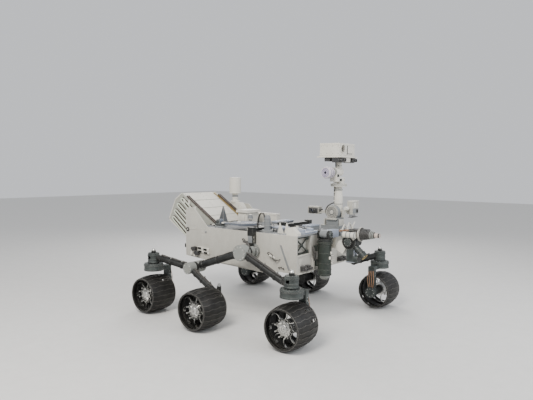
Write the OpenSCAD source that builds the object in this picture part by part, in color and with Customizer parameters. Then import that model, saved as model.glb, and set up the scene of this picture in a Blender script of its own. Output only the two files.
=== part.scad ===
// Six-wheeled planetary rover, in millimetres.
// X points forward, Y to port and Z up, from the floor under the middle of the vehicle.

/* [Wheels] */
// Radius of a wheel over its tread
wheel_r = 254; // [230:1:280]
// Width of a wheel
wheel_w = 400; // [340:1:440]
// How much smaller the radius is at a wheel's edges
wheel_crown = 22; // [10:1:30]
// Thickness of the wheel's skin
wheel_skin = 7; // [4:0.5:10]
// Number of flexure spokes
spoke_count = 8; // [5:1:10]
// Outer radius of the hub
hub_r = 84; // [76:1:95]

/* [Running gear] */
// Middle axle to front axle
front_reach = 1250; // [1150:5:1400]
// Middle axle to rear axle
rear_reach = 1080; // [980:5:1200]
// Centre line to the middle of a steered wheel
steer_y = 1120; // [1060:5:1250]
// Centre line to the middle of a middle wheel
middle_y = 1250; // [1200:5:1350]
// Height of the rocker pivot
pivot_z = 930; // [880:5:980]
// Place of the rocker pivot ahead of the middle axle
pivot_x = 300; // [250:5:350]
// Height of the bogie pivot
bogie_z = 655; // [620:5:700]
// Place of the bogie pivot behind the middle axle
bogie_x = 500; // [440:5:560]
// Diameter of the suspension tubes
tube_d = 88; // [70:1:96]

/* [Body] */
// Width of the body between its side panels
body_w = 1200; // [1100:5:1260]
// Length of the body ahead of the middle axle
body_front = 970; // [930:5:985]
// Length of the body behind the middle axle
body_rear = 970; // [930:5:1000]
// Height of the body's underside
body_z0 = 700; // [680:5:730]
// Height of the deck
deck_z = 1170; // [1150:5:1200]
// Thickness of the deck and of the side panels
panel_t = 20; // [10:1:22]

/* [Power source] */
// Slope of the power source, down towards the front
source_tilt = 32; // [25:1:36]
// Length of the finned case
source_len = 600; // [480:5:620]
// Radius over the fins
source_r = 235; // [200:1:240]
// Half the distance between the heat exchanger plates
plate_y = 360; // [330:5:420]

/* [Mast] */
// Place of the mast ahead of the middle axle
mast_x = 850; // [820:5:870]
// Centre line to the mast
mast_y = 590; // [520:5:600]
// Height of the flange under the pan unit
pan_z = 1800; // [1700:5:1900]
// Pan flange to the tilt axis
tilt_rise = 155; // [140:5:200]
// Length, width and height of the instrument box
head_size = [310, 430, 182]; // [150:1:460]

/* [Arm] */
// Place of the shoulder ahead of the middle axle
shoulder_x = 1100; // [1085:5:1130]
// Centre line to the shoulder
shoulder_y = -180; // [-230:5:-170]
// Height of the shoulder's elevation axis
shoulder_z = 1170; // [1150:5:1200]
// Sideways reach of the upper arm
upper_reach = 800; // [740:5:820]
// Fall of the upper arm from shoulder to elbow
upper_fall = 50; // [20:5:70]
// Diameter of the arm's tubes
arm_d = 80; // [64:1:84]
// Place of the turret's axis ahead of the middle axle
turret_x = 1370; // [1360:5:1400]
// Reach of the drill from the turret's axis
drill_reach = 390; // [370:5:410]

/* [High gain antenna] */
// Width of the antenna across its flats
dish_w = 350; // [280:5:360]
// Place of the antenna's gimbal behind the middle axle
gimbal_x = 420; // [400:5:440]
// Centre line to the gimbal
gimbal_y = 480; // [460:5:500]
// Gimbal to the middle of the antenna
dish_reach = 440; // [400:5:445]

/* [Hidden] */
$fn = 48;
fit = 0.05;   // radial clearance of a shaft in its bore
gap = 8;      // clearance between moving faces
seat = 0.3;   // clearance of a piece that rests against another

// Rearmost and foremost points, which put the origin in the middle of the length
plate_rear = [-1620, 1200];
x_rear = plate_rear.x;
x_front = turret_x + drill_reach;
origin_x = (x_front + x_rear) / 2;

side_y = body_w / 2;
skin_y = side_y + panel_t;
arm_y = 850;           // suspension tubes of the rocker
bogie_y = 975;         // suspension tubes of the bogie
steer_base = 2 * wheel_r + 172; // lower face of a steering housing
steer_h = 135;
drum_r = 60;
leg_y = wheel_w / 2 + 15;
leg_t = 58;

// ---------------------------------------------------------------- helpers

// A round bar from point a to point b
module rod(a, b, d) {
    v = b - a;
    len = norm(v);
    translate(a) rotate([0, acos(v.z / len), atan2(v.y, v.x)]) cylinder(h = len, d = d);
}

// A cylinder along Y from y0 to y1
module along_y(y0, y1, d) {
    translate([0, y0, 0]) rotate([-90, 0, 0]) cylinder(h = y1 - y0, d = d);
}

// A cylinder along X from x0 to x1
module along_x(x0, x1, d) {
    translate([x0, 0, 0]) rotate([0, 90, 0]) cylinder(h = x1 - x0, d = d);
}

// A box between two corners
module block(a, b) {
    translate(a) cube(b - a);
}

// A plate whose outline is in X and Z, from y0 to y1
module plate_xz(points, y0, y1) {
    translate([0, y1, 0]) rotate([90, 0, 0]) linear_extrude(y1 - y0) polygon(points);
}

// The copy of a starboard piece on the port side
module port_copy() {
    mirror([0, 1, 0]) children();
}

// From the middle axle to the row's origin
module in_row() {
    translate([-origin_x, 0, 0]) children();
}

// ---------------------------------------------------------------- wheels

function crown_r(y) = wheel_r - wheel_crown * pow(abs(y) / (wheel_w / 2), 2.4);

// The wheel's barrel, about the Y axis at the wheel's centre, with its outer side at -Y
module wheel_rim() {
    steps = 6;
    outer = [for (i = [-steps:steps]) let (y = i / steps * wheel_w / 2) [crown_r(y), y]];
    inner = [for (i = [steps:-1:-steps]) let (y = i / steps * wheel_w / 2)
             [crown_r(y) - wheel_skin, y]];
    ring_y = -wheel_w / 2 + 95;
    color("#2b2c2a") rotate([90, 0, 0]) rotate_extrude($fn = 96) {
        polygon(concat(outer, inner));
        translate([crown_r(0) - 36, -ring_y - 9]) square([34, 18]);
        translate([crown_r(wheel_w / 2) - 16, -wheel_w / 2]) square([12, 8]);
        translate([crown_r(wheel_w / 2) - 16, wheel_w / 2 - 8]) square([12, 8]);
    }
}

// Hub and flexures, in the same place as the rim
module wheel_hub() {
    ring_y = -wheel_w / 2 + 95;
    ring_r = crown_r(0) - 36;
    arc_r = (ring_r - hub_r) * 0.62;
    color("#b9bcc0") {
        difference() {
            along_y(ring_y - 30, 30, 2 * hub_r);
            along_y(ring_y - 5, 31, 2 * (drum_r + fit));
        }
        for (i = [0:spoke_count - 1]) rotate([0, i * 360 / spoke_count, 0])
            intersection() {
                translate([(hub_r + ring_r) / 2, ring_y - 12, arc_r * 0.72]) rotate([-90, 0, 0])
                    difference() {
                        cylinder(h = 24, r = arc_r);
                        translate([0, 0, -1]) cylinder(h = 26, r = arc_r - 7);
                    }
                difference() {
                    translate([0, ring_y - 12, 0]) rotate([-90, 0, 0]) cylinder(h = 24, r = ring_r);
                    translate([0, ring_y - 13, 0]) rotate([-90, 0, 0]) cylinder(h = 26, r = hub_r - 6);
                }
                translate([0, ring_y - 20, -arc_r]) cube([ring_r + 5, 40, arc_r * 1.72]);
            }
    }
}

function wheel_at(axle, side) =
    [axle == "front" ? front_reach : axle == "rear" ? -rear_reach : 0,
     side * (axle == "middle" ? middle_y : steer_y), wheel_r];

module wheel_piece(axle, side) {
    translate(wheel_at(axle, side)) mirror([0, side > 0 ? 1 : 0, 0]) children();
}

// Steered fork, about the steering axis, inboard at +Y
module steering_fork() {
    top = steer_base - gap;
    color("#4a4d4a") {
        translate([0, 0, top - 1]) cylinder(h = gap + 70, d = 60);
        translate([0, 0, top - 97]) cylinder(h = 97, d = 256);
        block([-42, 40, top - 102], [42, leg_y + leg_t, top - 52]);
        block([-48, leg_y, wheel_r], [48, leg_y + leg_t, top - 52]);
        translate([0, 0, wheel_r]) {
            along_y(leg_y, leg_y + leg_t + 22, 150);
            along_y(-wheel_w / 2 + 95, leg_y + 1, 2 * drum_r);
        }
    }
}

module fork_piece(axle, side) {
    place = wheel_at(axle, side);
    translate([place.x, place.y, 0]) mirror([0, side > 0 ? 1 : 0, 0]) steering_fork();
}

// Fixed housing that a fork turns in, at the steering axis
module steering_housing() {
    difference() {
        union() {
            translate([0, 0, steer_base]) cylinder(h = steer_h, d = 150);
            translate([0, 0, steer_base + steer_h]) cylinder(h = 30, d = 64);
        }
        translate([0, 0, steer_base - 1]) cylinder(h = 72 + 1, d = 60 + 2 * fit);
    }
}

// ---------------------------------------------------------------- suspension

steer_end_z = steer_base + 85;   // where a suspension tube meets a steering housing
knee_z = steer_end_z - 110;
bogie_face_y = arm_y + tube_d / 2 + 6;   // inner face of the bogie's hub

// Starboard rocker, which carries the front wheel and the bogie
module rocker() {
    pivot = [pivot_x, -arm_y, pivot_z];
    knee = [front_reach - 290, -arm_y - 20, knee_z];
    tail = [-bogie_x, -arm_y, bogie_z];
    steer = [front_reach, -steer_y, steer_end_z];
    color("#2e302f") {
        rod(pivot, knee, tube_d);
        translate(knee) sphere(d = tube_d + 8);
        difference() {
            rod(knee, steer, tube_d);
            translate([steer.x, steer.y, 0]) cylinder(h = 2 * deck_z, d = 148);
        }
        rod(pivot, tail, tube_d);
        translate([steer.x, steer.y, 0]) steering_housing();
        translate([pivot.x, 0, pivot.z]) {
            along_y(-skin_y - 160, -skin_y, 112);
            along_y(-skin_y - 24, -skin_y, 190);
            along_y(-skin_y - 120, -skin_y - 60, 150);
            along_y(-arm_y - 62, -skin_y - 150, 196);
        }
        translate([tail.x, 0, tail.z]) along_y(-bogie_face_y, -arm_y + 96, 150);
        block([pivot.x - 35, -skin_y - 110, pivot.z + 50], [pivot.x + 35, -skin_y - 60, pivot.z + 110]);
    }
}

// Starboard bogie, which carries the middle and rear wheels
module bogie() {
    hub = [-bogie_x, -bogie_y, bogie_z];
    knuckle = [-46, -bogie_y - 10, wheel_r + 150];
    steer = [-rear_reach, -steer_y, steer_end_z];
    color("#2e302f") {
        translate([hub.x, 0, hub.z]) along_y(-bogie_y - 65, -bogie_face_y, 150);
        difference() {
            rod(hub, steer, tube_d - 4);
            translate([steer.x, steer.y, 0]) cylinder(h = 2 * deck_z, d = 148);
        }
        translate([steer.x, steer.y, 0]) steering_housing();
        rod(hub, knuckle, tube_d - 4);
        translate(knuckle) sphere(d = tube_d + 4);
        rod(knuckle, [0, -bogie_y - 10, wheel_r], tube_d - 4);
        translate([34, -bogie_y - 10, wheel_r + 40]) cylinder(h = 195, d = 56);
        translate([0, 0, wheel_r]) {
            along_y(-bogie_y - 56, -bogie_y + 40, 150);
            along_y(-middle_y - wheel_w / 2 + 95, -bogie_y - 40, 2 * drum_r);
        }
    }
}

// Bar across the deck that levels the body between the two rockers
module differential_bar() {
    color("#1d1e1e") {
        block([pivot_x - 30, -side_y - 40, deck_z + 12], [pivot_x + 30, side_y + 40, deck_z + 52]);
        for (s = [-1, 1]) translate([pivot_x, s * (side_y + 64), 0])
            block([-42, -36, deck_z - 44], [42, 36, deck_z + 64]);
        translate([pivot_x, 0, deck_z]) cylinder(h = 74, d = 130);
    }
}

module differential_links() {
    color("#77797a") for (s = [-1, 1]) translate([pivot_x, s * (skin_y + 52), 0])
        block([-34, -28, pivot_z + 110], [34, 16, deck_z - 44]);
}

// ---------------------------------------------------------------- body

// Slope of the power source: along its axis, and across it towards its underside
axis_dir = [cos(source_tilt), -sin(source_tilt)];
cross_dir = [-sin(source_tilt), -cos(source_tilt)];
top_corner = [-1330, 1613];
source_mid = top_corner + 345 * axis_dir + 256 * cross_dir;
flange_t = 12;
seat_mid = source_mid + (source_len / 2 + flange_t + seat) * axis_dir;

// The body's sloping rear seat for the power source, at height z and at distance x
function seat_x(z) = seat_mid.x - (seat_mid.y - z) * tan(source_tilt);
function seat_z(x) = seat_mid.y - (seat_mid.x - x) / tan(source_tilt);

deck_rear = seat_x(deck_z - panel_t);

module chassis_box() {
    top = deck_z - panel_t;
    profile = [[-body_rear, body_z0 + 35], [-540, body_z0], [body_front - 70, body_z0],
               [body_front - 70, top], [deck_rear, top], [-body_rear, seat_z(-body_rear)]];
    color("#b9b6ae") plate_xz(profile, -side_y, side_y);
}

module top_deck() {
    color("#8d8f90")
        block([deck_rear, -side_y, deck_z - panel_t], [body_front, side_y, deck_z]);
}

// Starboard side: a tall rear panel, a thinner front panel and its gusset
module side_panel() {
    rear = [[-body_rear + 5, body_z0 + 35], [-body_rear, deck_z + 220], [-905, deck_z + 262],
            [-812, deck_z + 258], [-540, deck_z], [pivot_x + 40, deck_z], [pivot_x + 40, body_z0],
            [-540, body_z0 + 5]];
    gusset = [[620, deck_z], [body_front, deck_z], [body_front, body_z0], [865, body_z0]];
    color("#b9b6ae") {
        plate_xz(rear, -skin_y, -side_y);
        block([pivot_x + 40, -side_y - 6, body_z0], [body_front, -side_y, deck_z]);
        plate_xz(gusset, -skin_y, -side_y - 6);
    }
}

module front_panel() {
    x0 = body_front - 70;
    color("#b9b6ae") {
        block([x0, -side_y, body_z0], [body_front, side_y, body_z0 + 225]);
        block([x0, side_y - 260, body_z0 + 225], [body_front, side_y, deck_z - panel_t]);
        block([x0, shoulder_y - 130, body_z0 + 225], [body_front, shoulder_y + 130, deck_z - panel_t]);
    }
}

module front_braces() {
    x = body_front - 40;
    low = body_z0 + 245;
    high = deck_z - panel_t - 20;
    y0 = -side_y + 20;
    y1 = shoulder_y - 150;
    color("#4a4d4a") {
        rod([x, y0, low], [x, y1, high], 18);
        rod([x + 2, y0, high], [x + 2, y1, low], 18);
        block([x - 30, y0 - 19, body_z0 + 225], [x + 12, y1 + 19, low]);
        block([x - 30, y0 - 19, high], [x + 12, y1 + 19, deck_z - panel_t]);
    }
}

module belly_pan() {
    color("#a9a9a4")
        plate_xz([[-440, body_z0], [-300, body_z0 - 16], [430, body_z0 - 42], [500, body_z0]],
                 -side_y + 8, side_y - 8);
}

// ---------------------------------------------------------------- power source

// Places things on the power source's axis, with X along it and down towards the front
module on_source_axis() {
    translate([source_mid.x, 0, source_mid.y]) rotate([0, source_tilt, 0]) children();
}

module power_source() {
    color("#8f8f8a") on_source_axis() {
        along_x(-source_len / 2, source_len / 2, 250);
        along_x(-source_len / 2 - 24, -source_len / 2, 170);
        along_x(source_len / 2 - 1, source_len / 2 + flange_t, 230);
        for (i = [0:7]) rotate([22.5 + 45 * i, 0, 0])
            block([-source_len / 2 + 14, -5, 118], [source_len / 2 - 14, 5, source_r]);
    }
}

plate_gap = 20;   // between the plates and the body's rear face
plate_outline = [top_corner, [-1470, 1520], plate_rear, [-body_rear - plate_gap, 806],
                 [-body_rear - plate_gap, seat_z(-body_rear - plate_gap)],
                 [deck_rear - 12, deck_z], [-632, deck_z]];

module heat_plate() {
    color("#b4b5ad") {
        plate_xz(plate_outline, -plate_y - 12, -plate_y + 12);
        block([-body_rear - plate_gap - 1, -plate_y - 11, 830], [-body_rear, -plate_y + 11, 900]);
    }
}

module power_source_cover() {
    slope_len = (top_corner.y - deck_z) / sin(source_tilt) - 61;
    color("#b4b5ad") translate([top_corner.x, 0, top_corner.y]) rotate([0, source_tilt, 0])
        block([6, -plate_y + 12, -16], [slope_len, plate_y - 12, 0]);
}

// ---------------------------------------------------------------- deck equipment

// Whip-less cylinder antenna on its stand at the back of the deck
module uhf_antenna() {
    x = -945;
    y = 425;
    top = deck_z + 285;
    color("#d6d3ca") {
        plate_xz([[deck_rear, deck_z], [-965, deck_z + 150], [x - 70, top], [-812, top],
                  [-760, top - 60], [-640, deck_z]], y - 48, y + 48);
        translate([x, y, top]) {
            cylinder(h = 18, d = 140);
            cylinder(h = 150, d = 88);
            translate([0, 0, 145]) cylinder(h = 250, d = 186);
        }
    }
}

module port_equipment_box() {
    color("#d2d0ca") {
        block([-600, 490, deck_z], [-160, side_y - 20, deck_z + 140]);
        block([-560, 60, deck_z], [-390, 330, deck_z + 165]);
        block([-585, 40, deck_z + 165], [-365, 350, deck_z + 205]);
    }
}

// A thin upright triangle, standing on the deck across X
module fin(x, y, w, h) {
    plate_xz([[x, deck_z], [x + w, deck_z], [x + w * 0.35, deck_z + h]], y - 6, y + 6);
}

// Low equipment on the deck, with the calibration target and the low gain antenna
module deck_instruments() {
    color("#6f7276") {
        translate([425, -495, deck_z]) {
            cylinder(h = 26, d = 140);
            cylinder(h = 180, d = 84);
            translate([0, 0, 179]) cylinder(h = 36, d1 = 84, d2 = 56);
        }
        block([-618, -320, deck_z], [-520, -200, deck_z + 40]);
        translate([-569, -260, deck_z + 39])
            rotate([0, 0, 45]) cylinder(h = 235, r1 = 66, r2 = 8, $fn = 4);
        block([420, -400, deck_z], [600, -250, deck_z + 56]);
        block([640, 0, deck_z], [760, 240, deck_z + 60]);
        block([70, 60, deck_z], [200, 420, deck_z + 70]);
        translate([60, -120, deck_z]) {
            cylinder(h = 18, d = 110);
            translate([0, 0, 17]) cylinder(h = 60, d1 = 60, d2 = 24);
        }
        translate([-290, 20, deck_z]) {
            cylinder(h = 90, d = 50);
            translate([0, 0, 89]) cylinder(h = 60, d1 = 84, d2 = 52);
        }
    }
}

// White sun shades and the raised corner at the front of the deck
module deck_shades() {
    color("#dcdad3") {
        fin(590, -490, 90, 135);
        fin(670, -455, 90, 135);
        plate_xz([[800, deck_z], [body_front, deck_z], [body_front, deck_z + 30],
                  [885, deck_z + 104], [812, deck_z + 92]], -side_y, -side_y + 70);
    }
}

// Round covers over the sample inlets, on one shallow box
module sample_inlets() {
    color("#c9cbd0") {
        block([650, -410, deck_z], [940, -60, deck_z + 22]);
        for (p = [[850, -340], [740, -240], [850, -140]])
            translate([p.x, p.y, deck_z + 21]) cylinder(h = 27, d = 92);
    }
}

module hazard_camera(lens_side) {
    block([-26, -30, -26], [26, 30, 26]);
    rotate([0, 0, lens_side]) along_x(20, 46, 34);
}

module hazard_cameras() {
    color("#3b3c3c") for (y = [-500, -400, 400, 500])
        translate([body_front + 26, y, body_z0 + 62]) hazard_camera(0);
    color("#3b3c3c") for (s = [-1, 1]) {
        translate([-760, s * (skin_y + 30), body_z0 + 150]) hazard_camera(180);
        translate([-700, s * (skin_y + 30), body_z0 + 90]) hazard_camera(180);
    }
}

// ---------------------------------------------------------------- mast

mast_foot = deck_z + 210;
hinge_z = deck_z + 225;

// Hinge that the mast was raised on, with the instruments round it
module mast_base() {
    x = mast_x - 14;
    color("#5d605d") {
        block([x - 170, mast_y - 170, deck_z], [body_front - 20, mast_y + 10, deck_z + 40]);
        block([x - 96, mast_y - 140, deck_z + 39], [x + 100, mast_y + 10, deck_z + 150]);
        translate([mast_x, mast_y, deck_z + 149]) cylinder(h = mast_foot - deck_z - 149, d = 150);
        translate([x, 0, hinge_z]) {
            along_y(mast_y - 150, mast_y - 78, 190);
            along_y(mast_y - 160, mast_y - 149, 150);
        }
        block([x - 60, mast_y - 149, deck_z + 100], [x + 60, mast_y - 78, hinge_z]);
    }
}

// Sensor boxes held out beside the mast's hinge
module mast_base_boxes() {
    x = mast_x - 14;
    color("#8f8d84") {
        block([x - 260, mast_y - 60, hinge_z - 30], [x - 80, mast_y - 20, hinge_z + 10]);
        block([x - 430, mast_y - 90, hinge_z - 45], [x - 259, mast_y + 5, hinge_z + 60]);
        block([x - 110, mast_y - 60, deck_z + 150], [x - 80, mast_y - 20, hinge_z + 10]);
        block([x + 92, mast_y - 50, deck_z + 150], [x + 118, mast_y + 10, hinge_z + 20]);
        block([x + 92, mast_y + 9, hinge_z - 20], [x + 118, mast_y + 120, hinge_z + 20]);
        block([x + 117, mast_y + 70, hinge_z - 36], [x + 200, mast_y + 250, hinge_z + 150]);
    }
}

module mast_tube() {
    color("#d8d6ce") translate([mast_x, mast_y, 0]) {
        translate([0, 0, mast_foot]) cylinder(h = 40, d = 150);
        translate([0, 0, mast_foot + 39]) cylinder(h = 170, d = 116);
        translate([0, 0, mast_foot + 208]) cylinder(h = pan_z - mast_foot - 256, d1 = 116, d2 = 92);
        translate([0, 0, pan_z - 50]) difference() {
            cylinder(h = 50 - gap, d = 224);
            translate([0, 0, 12]) cylinder(h = 50, d = 60 + 2 * fit);
        }
    }
}

tilt_z = pan_z + tilt_rise;

// Turns about the mast; carries the tilt actuator on its starboard side
module mast_pan_unit() {
    color("#c9c7bf") translate([mast_x, mast_y, 0]) {
        translate([0, 0, pan_z - 30]) cylinder(h = 32, d = 60);
        translate([0, 0, pan_z]) cylinder(h = 22, d = 150);
        block([-58, -150, pan_z + 21], [64, 58, pan_z + 80]);
        block([-58, -150, pan_z + 79], [46, -52, tilt_z]);
        translate([0, 0, tilt_z]) along_y(-151, -50, 120);
        translate([0, 0, tilt_z]) along_y(-51, 40, 44);
        translate([-40, 0, tilt_z - 12]) along_y(-300, -150, 150);
    }
}

head_plate_z = tilt_z + 198;

// Nods on the tilt axis
module camera_head() {
    color("#d2d0c8") translate([mast_x, mast_y, 0]) {
        difference() {
            union() {
                translate([0, 0, tilt_z]) along_y(-42, 40, 110);
                translate([0, 0, tilt_z + 30]) cylinder(h = 170, d = 74);
                translate([0, 0, tilt_z + 170]) cylinder(h = 29, d1 = 74, d2 = 130);
            }
            translate([0, 0, tilt_z]) along_y(-43, 41, 44 + 2 * fit);
        }
        block([-220, -240, head_plate_z], [160, 240, head_plate_z + 14]);
    }
}

// Box with the laser and telescope, with a round window in its front
module instrument_box() {
    z = head_plate_z + 14;
    color("#dad8d1") translate([mast_x - 30, mast_y, z]) difference() {
        translate([-head_size.x / 2, -head_size.y / 2, 0]) cube(head_size);
        translate([0, -head_size.y / 2 + 80, 106]) along_x(head_size.x / 2 - 40, head_size.x / 2 + 1, 110);
    }
}

module mast_cameras() {
    z = head_plate_z;
    color("#3e4040") translate([mast_x, mast_y, z]) {
        for (y = [-196, -120, 120, 196]) {
            block([20, y - 32, -70], [118, y + 32, 0]);
            translate([0, y, -36]) along_x(116, 138, 46);
        }
        block([-110, -210, -54], [-30, -90, 0]);
        block([-110, 90, -54], [-30, 210, 0]);
    }
}

// ---------------------------------------------------------------- antenna

gimbal_z = deck_z + 85;     // elevation axis
ear_y = 36;

module antenna_base() {
    color("#77797a") translate([-gimbal_x, -gimbal_y, deck_z]) difference() {
        cylinder(h = 24, d = 150);
        translate([0, 0, 2]) cylinder(h = 30, d = 40 + 2 * fit);
    }
}

module antenna_yoke() {
    color("#77797a") translate([-gimbal_x, -gimbal_y, 0]) {
        translate([0, 0, deck_z + 4]) cylinder(h = 30, d = 40);
        translate([0, 0, deck_z + 24 + gap]) cylinder(h = 16, d = 136);
        for (y = [-ear_y - 16, ear_y]) {
            block([-24, y, deck_z + 47], [24, y + 16, gimbal_z]);
            translate([0, 0, gimbal_z]) along_y(y, y + 16, 48);
        }
        translate([0, 0, gimbal_z]) along_y(-ear_y - 1, ear_y + 1, 16);
    }
}

// Hexagonal flat antenna on its boom, lying over the deck
module high_gain_antenna() {
    r = dish_w / sqrt(3);
    hexagon = [for (a = [0:60:300]) r * [cos(a), sin(a)]];
    color("#4a4e55") translate([-gimbal_x, -gimbal_y, gimbal_z]) difference() {
        union() {
            translate([dish_reach, 0, -16]) linear_extrude(24) polygon(hexagon);
            translate([dish_reach, 0, -34]) cylinder(h = 19, d = 170);
            block([-4, -28, -30], [dish_reach - 60, 28, -15]);
            along_y(-ear_y + 4, ear_y - 4, 60);
        }
        along_y(-ear_y, ear_y, 16 + 2 * fit);
    }
}

// ---------------------------------------------------------------- arm

plane_upper = shoulder_x;              // X of the upper arm
plane_fore = shoulder_x + 165;         // X of the forearm
elbow = [shoulder_y + upper_reach, shoulder_z - upper_fall];
wrist_at = [170, 1062];
turret_at = [turret_x, 0, 1080];
turret_d = 180;

module arm_mount() {
    color("#3a3d3b") translate([shoulder_x, shoulder_y, 0]) {
        difference() {
            union() {
                translate([0, 0, body_z0 - 50]) cylinder(h = shoulder_z - 90 - body_z0 + 50, d = 172);
                translate([0, 0, shoulder_z - 118]) cylinder(h = 28, d = 200);
                translate([0, 0, body_z0 - 90]) cylinder(h = 41, d = 110);
            }
            translate([0, 0, shoulder_z - 160]) cylinder(h = 80, d = 70 + 2 * fit);
        }
        block([body_front - shoulder_x, -60, body_z0 + 60], [-70, 60, body_z0 + 130]);
        block([body_front - shoulder_x, -60, shoulder_z - 220], [-70, 60, shoulder_z - 150]);
    }
}

module shoulder_yoke() {
    color("#33362f") translate([shoulder_x, shoulder_y, shoulder_z]) {
        translate([0, 0, -154]) cylinder(h = 74, d = 70);
        translate([0, 0, -82]) cylinder(h = 26, d = 176);
        for (s = [-1, 1]) {
            block([s > 0 ? 58 : -84, -50, -57], [s > 0 ? 84 : -58, 50, 0]);
            along_x(s > 0 ? 58 : -84, s > 0 ? 84 : -58, 100);
        }
        along_x(-85, 85, 44);
    }
}

// In the stowed arm the upper arm crosses to port
module upper_arm() {
    start = [plane_upper, shoulder_y, shoulder_z];
    end = [plane_upper, elbow.x, elbow.y];
    color("#7b7e80") difference() {
        union() {
            translate(start) along_x(-50, 50, 104);
            rod(start, end, arm_d);
            translate(end) along_x(-48, 62, 120);
        }
        translate(start) along_x(-51, 51, 44 + 2 * fit);
        translate(end) along_x(-10, 63, 50 + 2 * fit);
        upper_arm_box_space();
    }
}

box_y = [shoulder_y + 66, shoulder_y + 270];

module upper_arm_box_space() {
    block([plane_upper - 46, box_y[0], shoulder_z - 60], [plane_upper + 46, box_y[1], shoulder_z + 40]);
}

// Motor box that the upper arm's tube passes out of
module upper_arm_box() {
    color("#a9b0bb")
        block([plane_upper - 46, box_y[0] + seat, shoulder_z - 55],
              [plane_upper + 46, box_y[1] - seat, shoulder_z + 38]);
}

module forearm() {
    start = [plane_fore, elbow.x, elbow.y];
    end = [plane_fore, wrist_at.x, wrist_at.y];
    color("#4a4d4a") difference() {
        union() {
            translate(start) along_x(plane_upper - plane_fore - 8, -30, 50);
            translate(start) along_x(plane_upper - plane_fore + 70, 48, 116);
            rod(start, end, arm_d - 8);
            translate(end) along_x(-44, 44, 92);
        }
        translate(end) along_x(0, 45, 40 + 2 * fit);
    }
}

// Carries the turret's bearing
module wrist() {
    start = [plane_fore, wrist_at.x, wrist_at.y];
    color("#4a4d4a") {
        translate(start) along_x(2, 52, 40);
        difference() {
            union() {
                translate(start) along_x(52, turret_x - plane_fore + 42, 88);
                block([turret_x - 42, 100, turret_at.z - 46], [turret_x + 42, wrist_at.x, turret_at.z + 46]);
                translate([turret_x, 0, turret_at.z]) along_y(84, 146, 110);
            }
            translate([turret_x, 0, turret_at.z]) along_y(83, 140, 50 + 2 * fit);
        }
    }
}

module turret_hub() {
    color("#3b3e3c") translate(turret_at) {
        along_y(75, 138, 50);
        along_y(-60, 76, turret_d);
        along_y(-84, -59, 108);
    }
}

// Cuts a tool's root to the turret's round side
module on_turret() {
    translate(turret_at) difference() {
        children();
        along_y(-61, 77, turret_d + 2 * seat);
    }
}

drill_z = 106;

// Percussive drill, pointing forward
module drill() {
    color("#2a2c2d") on_turret() translate([0, 0, drill_z]) {
        block([-10, -46, -60], [112, 46, 56]);
        along_x(111, 134, 120);
        along_x(133, 152, 168);
        translate([151, 0, 0]) rotate([0, 90, 0]) cylinder(h = 116, d1 = 146, d2 = 100);
        translate([266, 0, 0]) rotate([0, 90, 0]) cylinder(h = 60, d1 = 96, d2 = 70);
        along_x(325, drill_reach, 54);
    }
}

// White covered pieces of the turret: the drill's side tube and the sieving box
module sample_handler() {
    color("#cfcdc4") on_turret() {
        translate([0, -86, drill_z - 12]) {
            along_x(-70, 111, 74);
            block([-50, 34, -30], [-20, 50, 30]);
        }
        rotate([0, 28, 0]) block([-124, -58, -180], [0, 58, -56]);
    }
}

// Dark boxes under the turret, with a brush ring and a spectrometer head
module contact_instruments() {
    color("#55585a") on_turret() {
        block([-30, -54, -260], [64, 54, -70]);
        translate([0, 0, -210]) along_x(63, 116, 96);
        rotate([0, 42, 0]) {
            along_x(80, 200, 82);
            along_x(199, 262, 96);
        }
    }
}

// ---------------------------------------------------------------- assembly

in_row() chassis_box();
in_row() top_deck();
in_row() side_panel();  // side_panel_starboard
in_row() port_copy() side_panel();  // side_panel_port
in_row() front_panel();
in_row() front_braces();
in_row() belly_pan();
in_row() power_source();
in_row() heat_plate();  // heat_plate_starboard
in_row() port_copy() heat_plate();  // heat_plate_port
in_row() power_source_cover();
in_row() uhf_antenna();
in_row() port_equipment_box();
in_row() deck_instruments();
in_row() deck_shades();
in_row() sample_inlets();
in_row() differential_bar();
in_row() differential_links();
in_row() rocker();  // rocker_starboard
in_row() port_copy() rocker();  // rocker_port
in_row() bogie();  // bogie_starboard
in_row() port_copy() bogie();  // bogie_port
in_row() hazard_cameras();
in_row() mast_base();
in_row() mast_base_boxes();
in_row() mast_tube();
in_row() antenna_base();
in_row() arm_mount();
in_row() antenna_yoke();
in_row() high_gain_antenna();
in_row() fork_piece("front", -1);  // fork_front_starboard
in_row() fork_piece("front", 1);  // fork_front_port
in_row() fork_piece("rear", -1);  // fork_rear_starboard
in_row() fork_piece("rear", 1);  // fork_rear_port
in_row() wheel_piece("front", -1) wheel_rim();  // rim_front_starboard
in_row() wheel_piece("front", 1) wheel_rim();  // rim_front_port
in_row() wheel_piece("middle", -1) wheel_rim();  // rim_middle_starboard
in_row() wheel_piece("middle", 1) wheel_rim();  // rim_middle_port
in_row() wheel_piece("rear", -1) wheel_rim();  // rim_rear_starboard
in_row() wheel_piece("rear", 1) wheel_rim();  // rim_rear_port
in_row() wheel_piece("front", -1) wheel_hub();  // hub_front_starboard
in_row() wheel_piece("front", 1) wheel_hub();  // hub_front_port
in_row() wheel_piece("middle", -1) wheel_hub();  // hub_middle_starboard
in_row() wheel_piece("middle", 1) wheel_hub();  // hub_middle_port
in_row() wheel_piece("rear", -1) wheel_hub();  // hub_rear_starboard
in_row() wheel_piece("rear", 1) wheel_hub();  // hub_rear_port
in_row() shoulder_yoke();
in_row() upper_arm();
in_row() upper_arm_box();
in_row() forearm();
in_row() wrist();
in_row() turret_hub();
in_row() drill();
in_row() sample_handler();
in_row() contact_instruments();
in_row() mast_pan_unit();
in_row() camera_head();
in_row() instrument_box();
in_row() mast_cameras();
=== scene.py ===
import math

import bmesh
import bpy
from mathutils import Matrix, Vector


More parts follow.
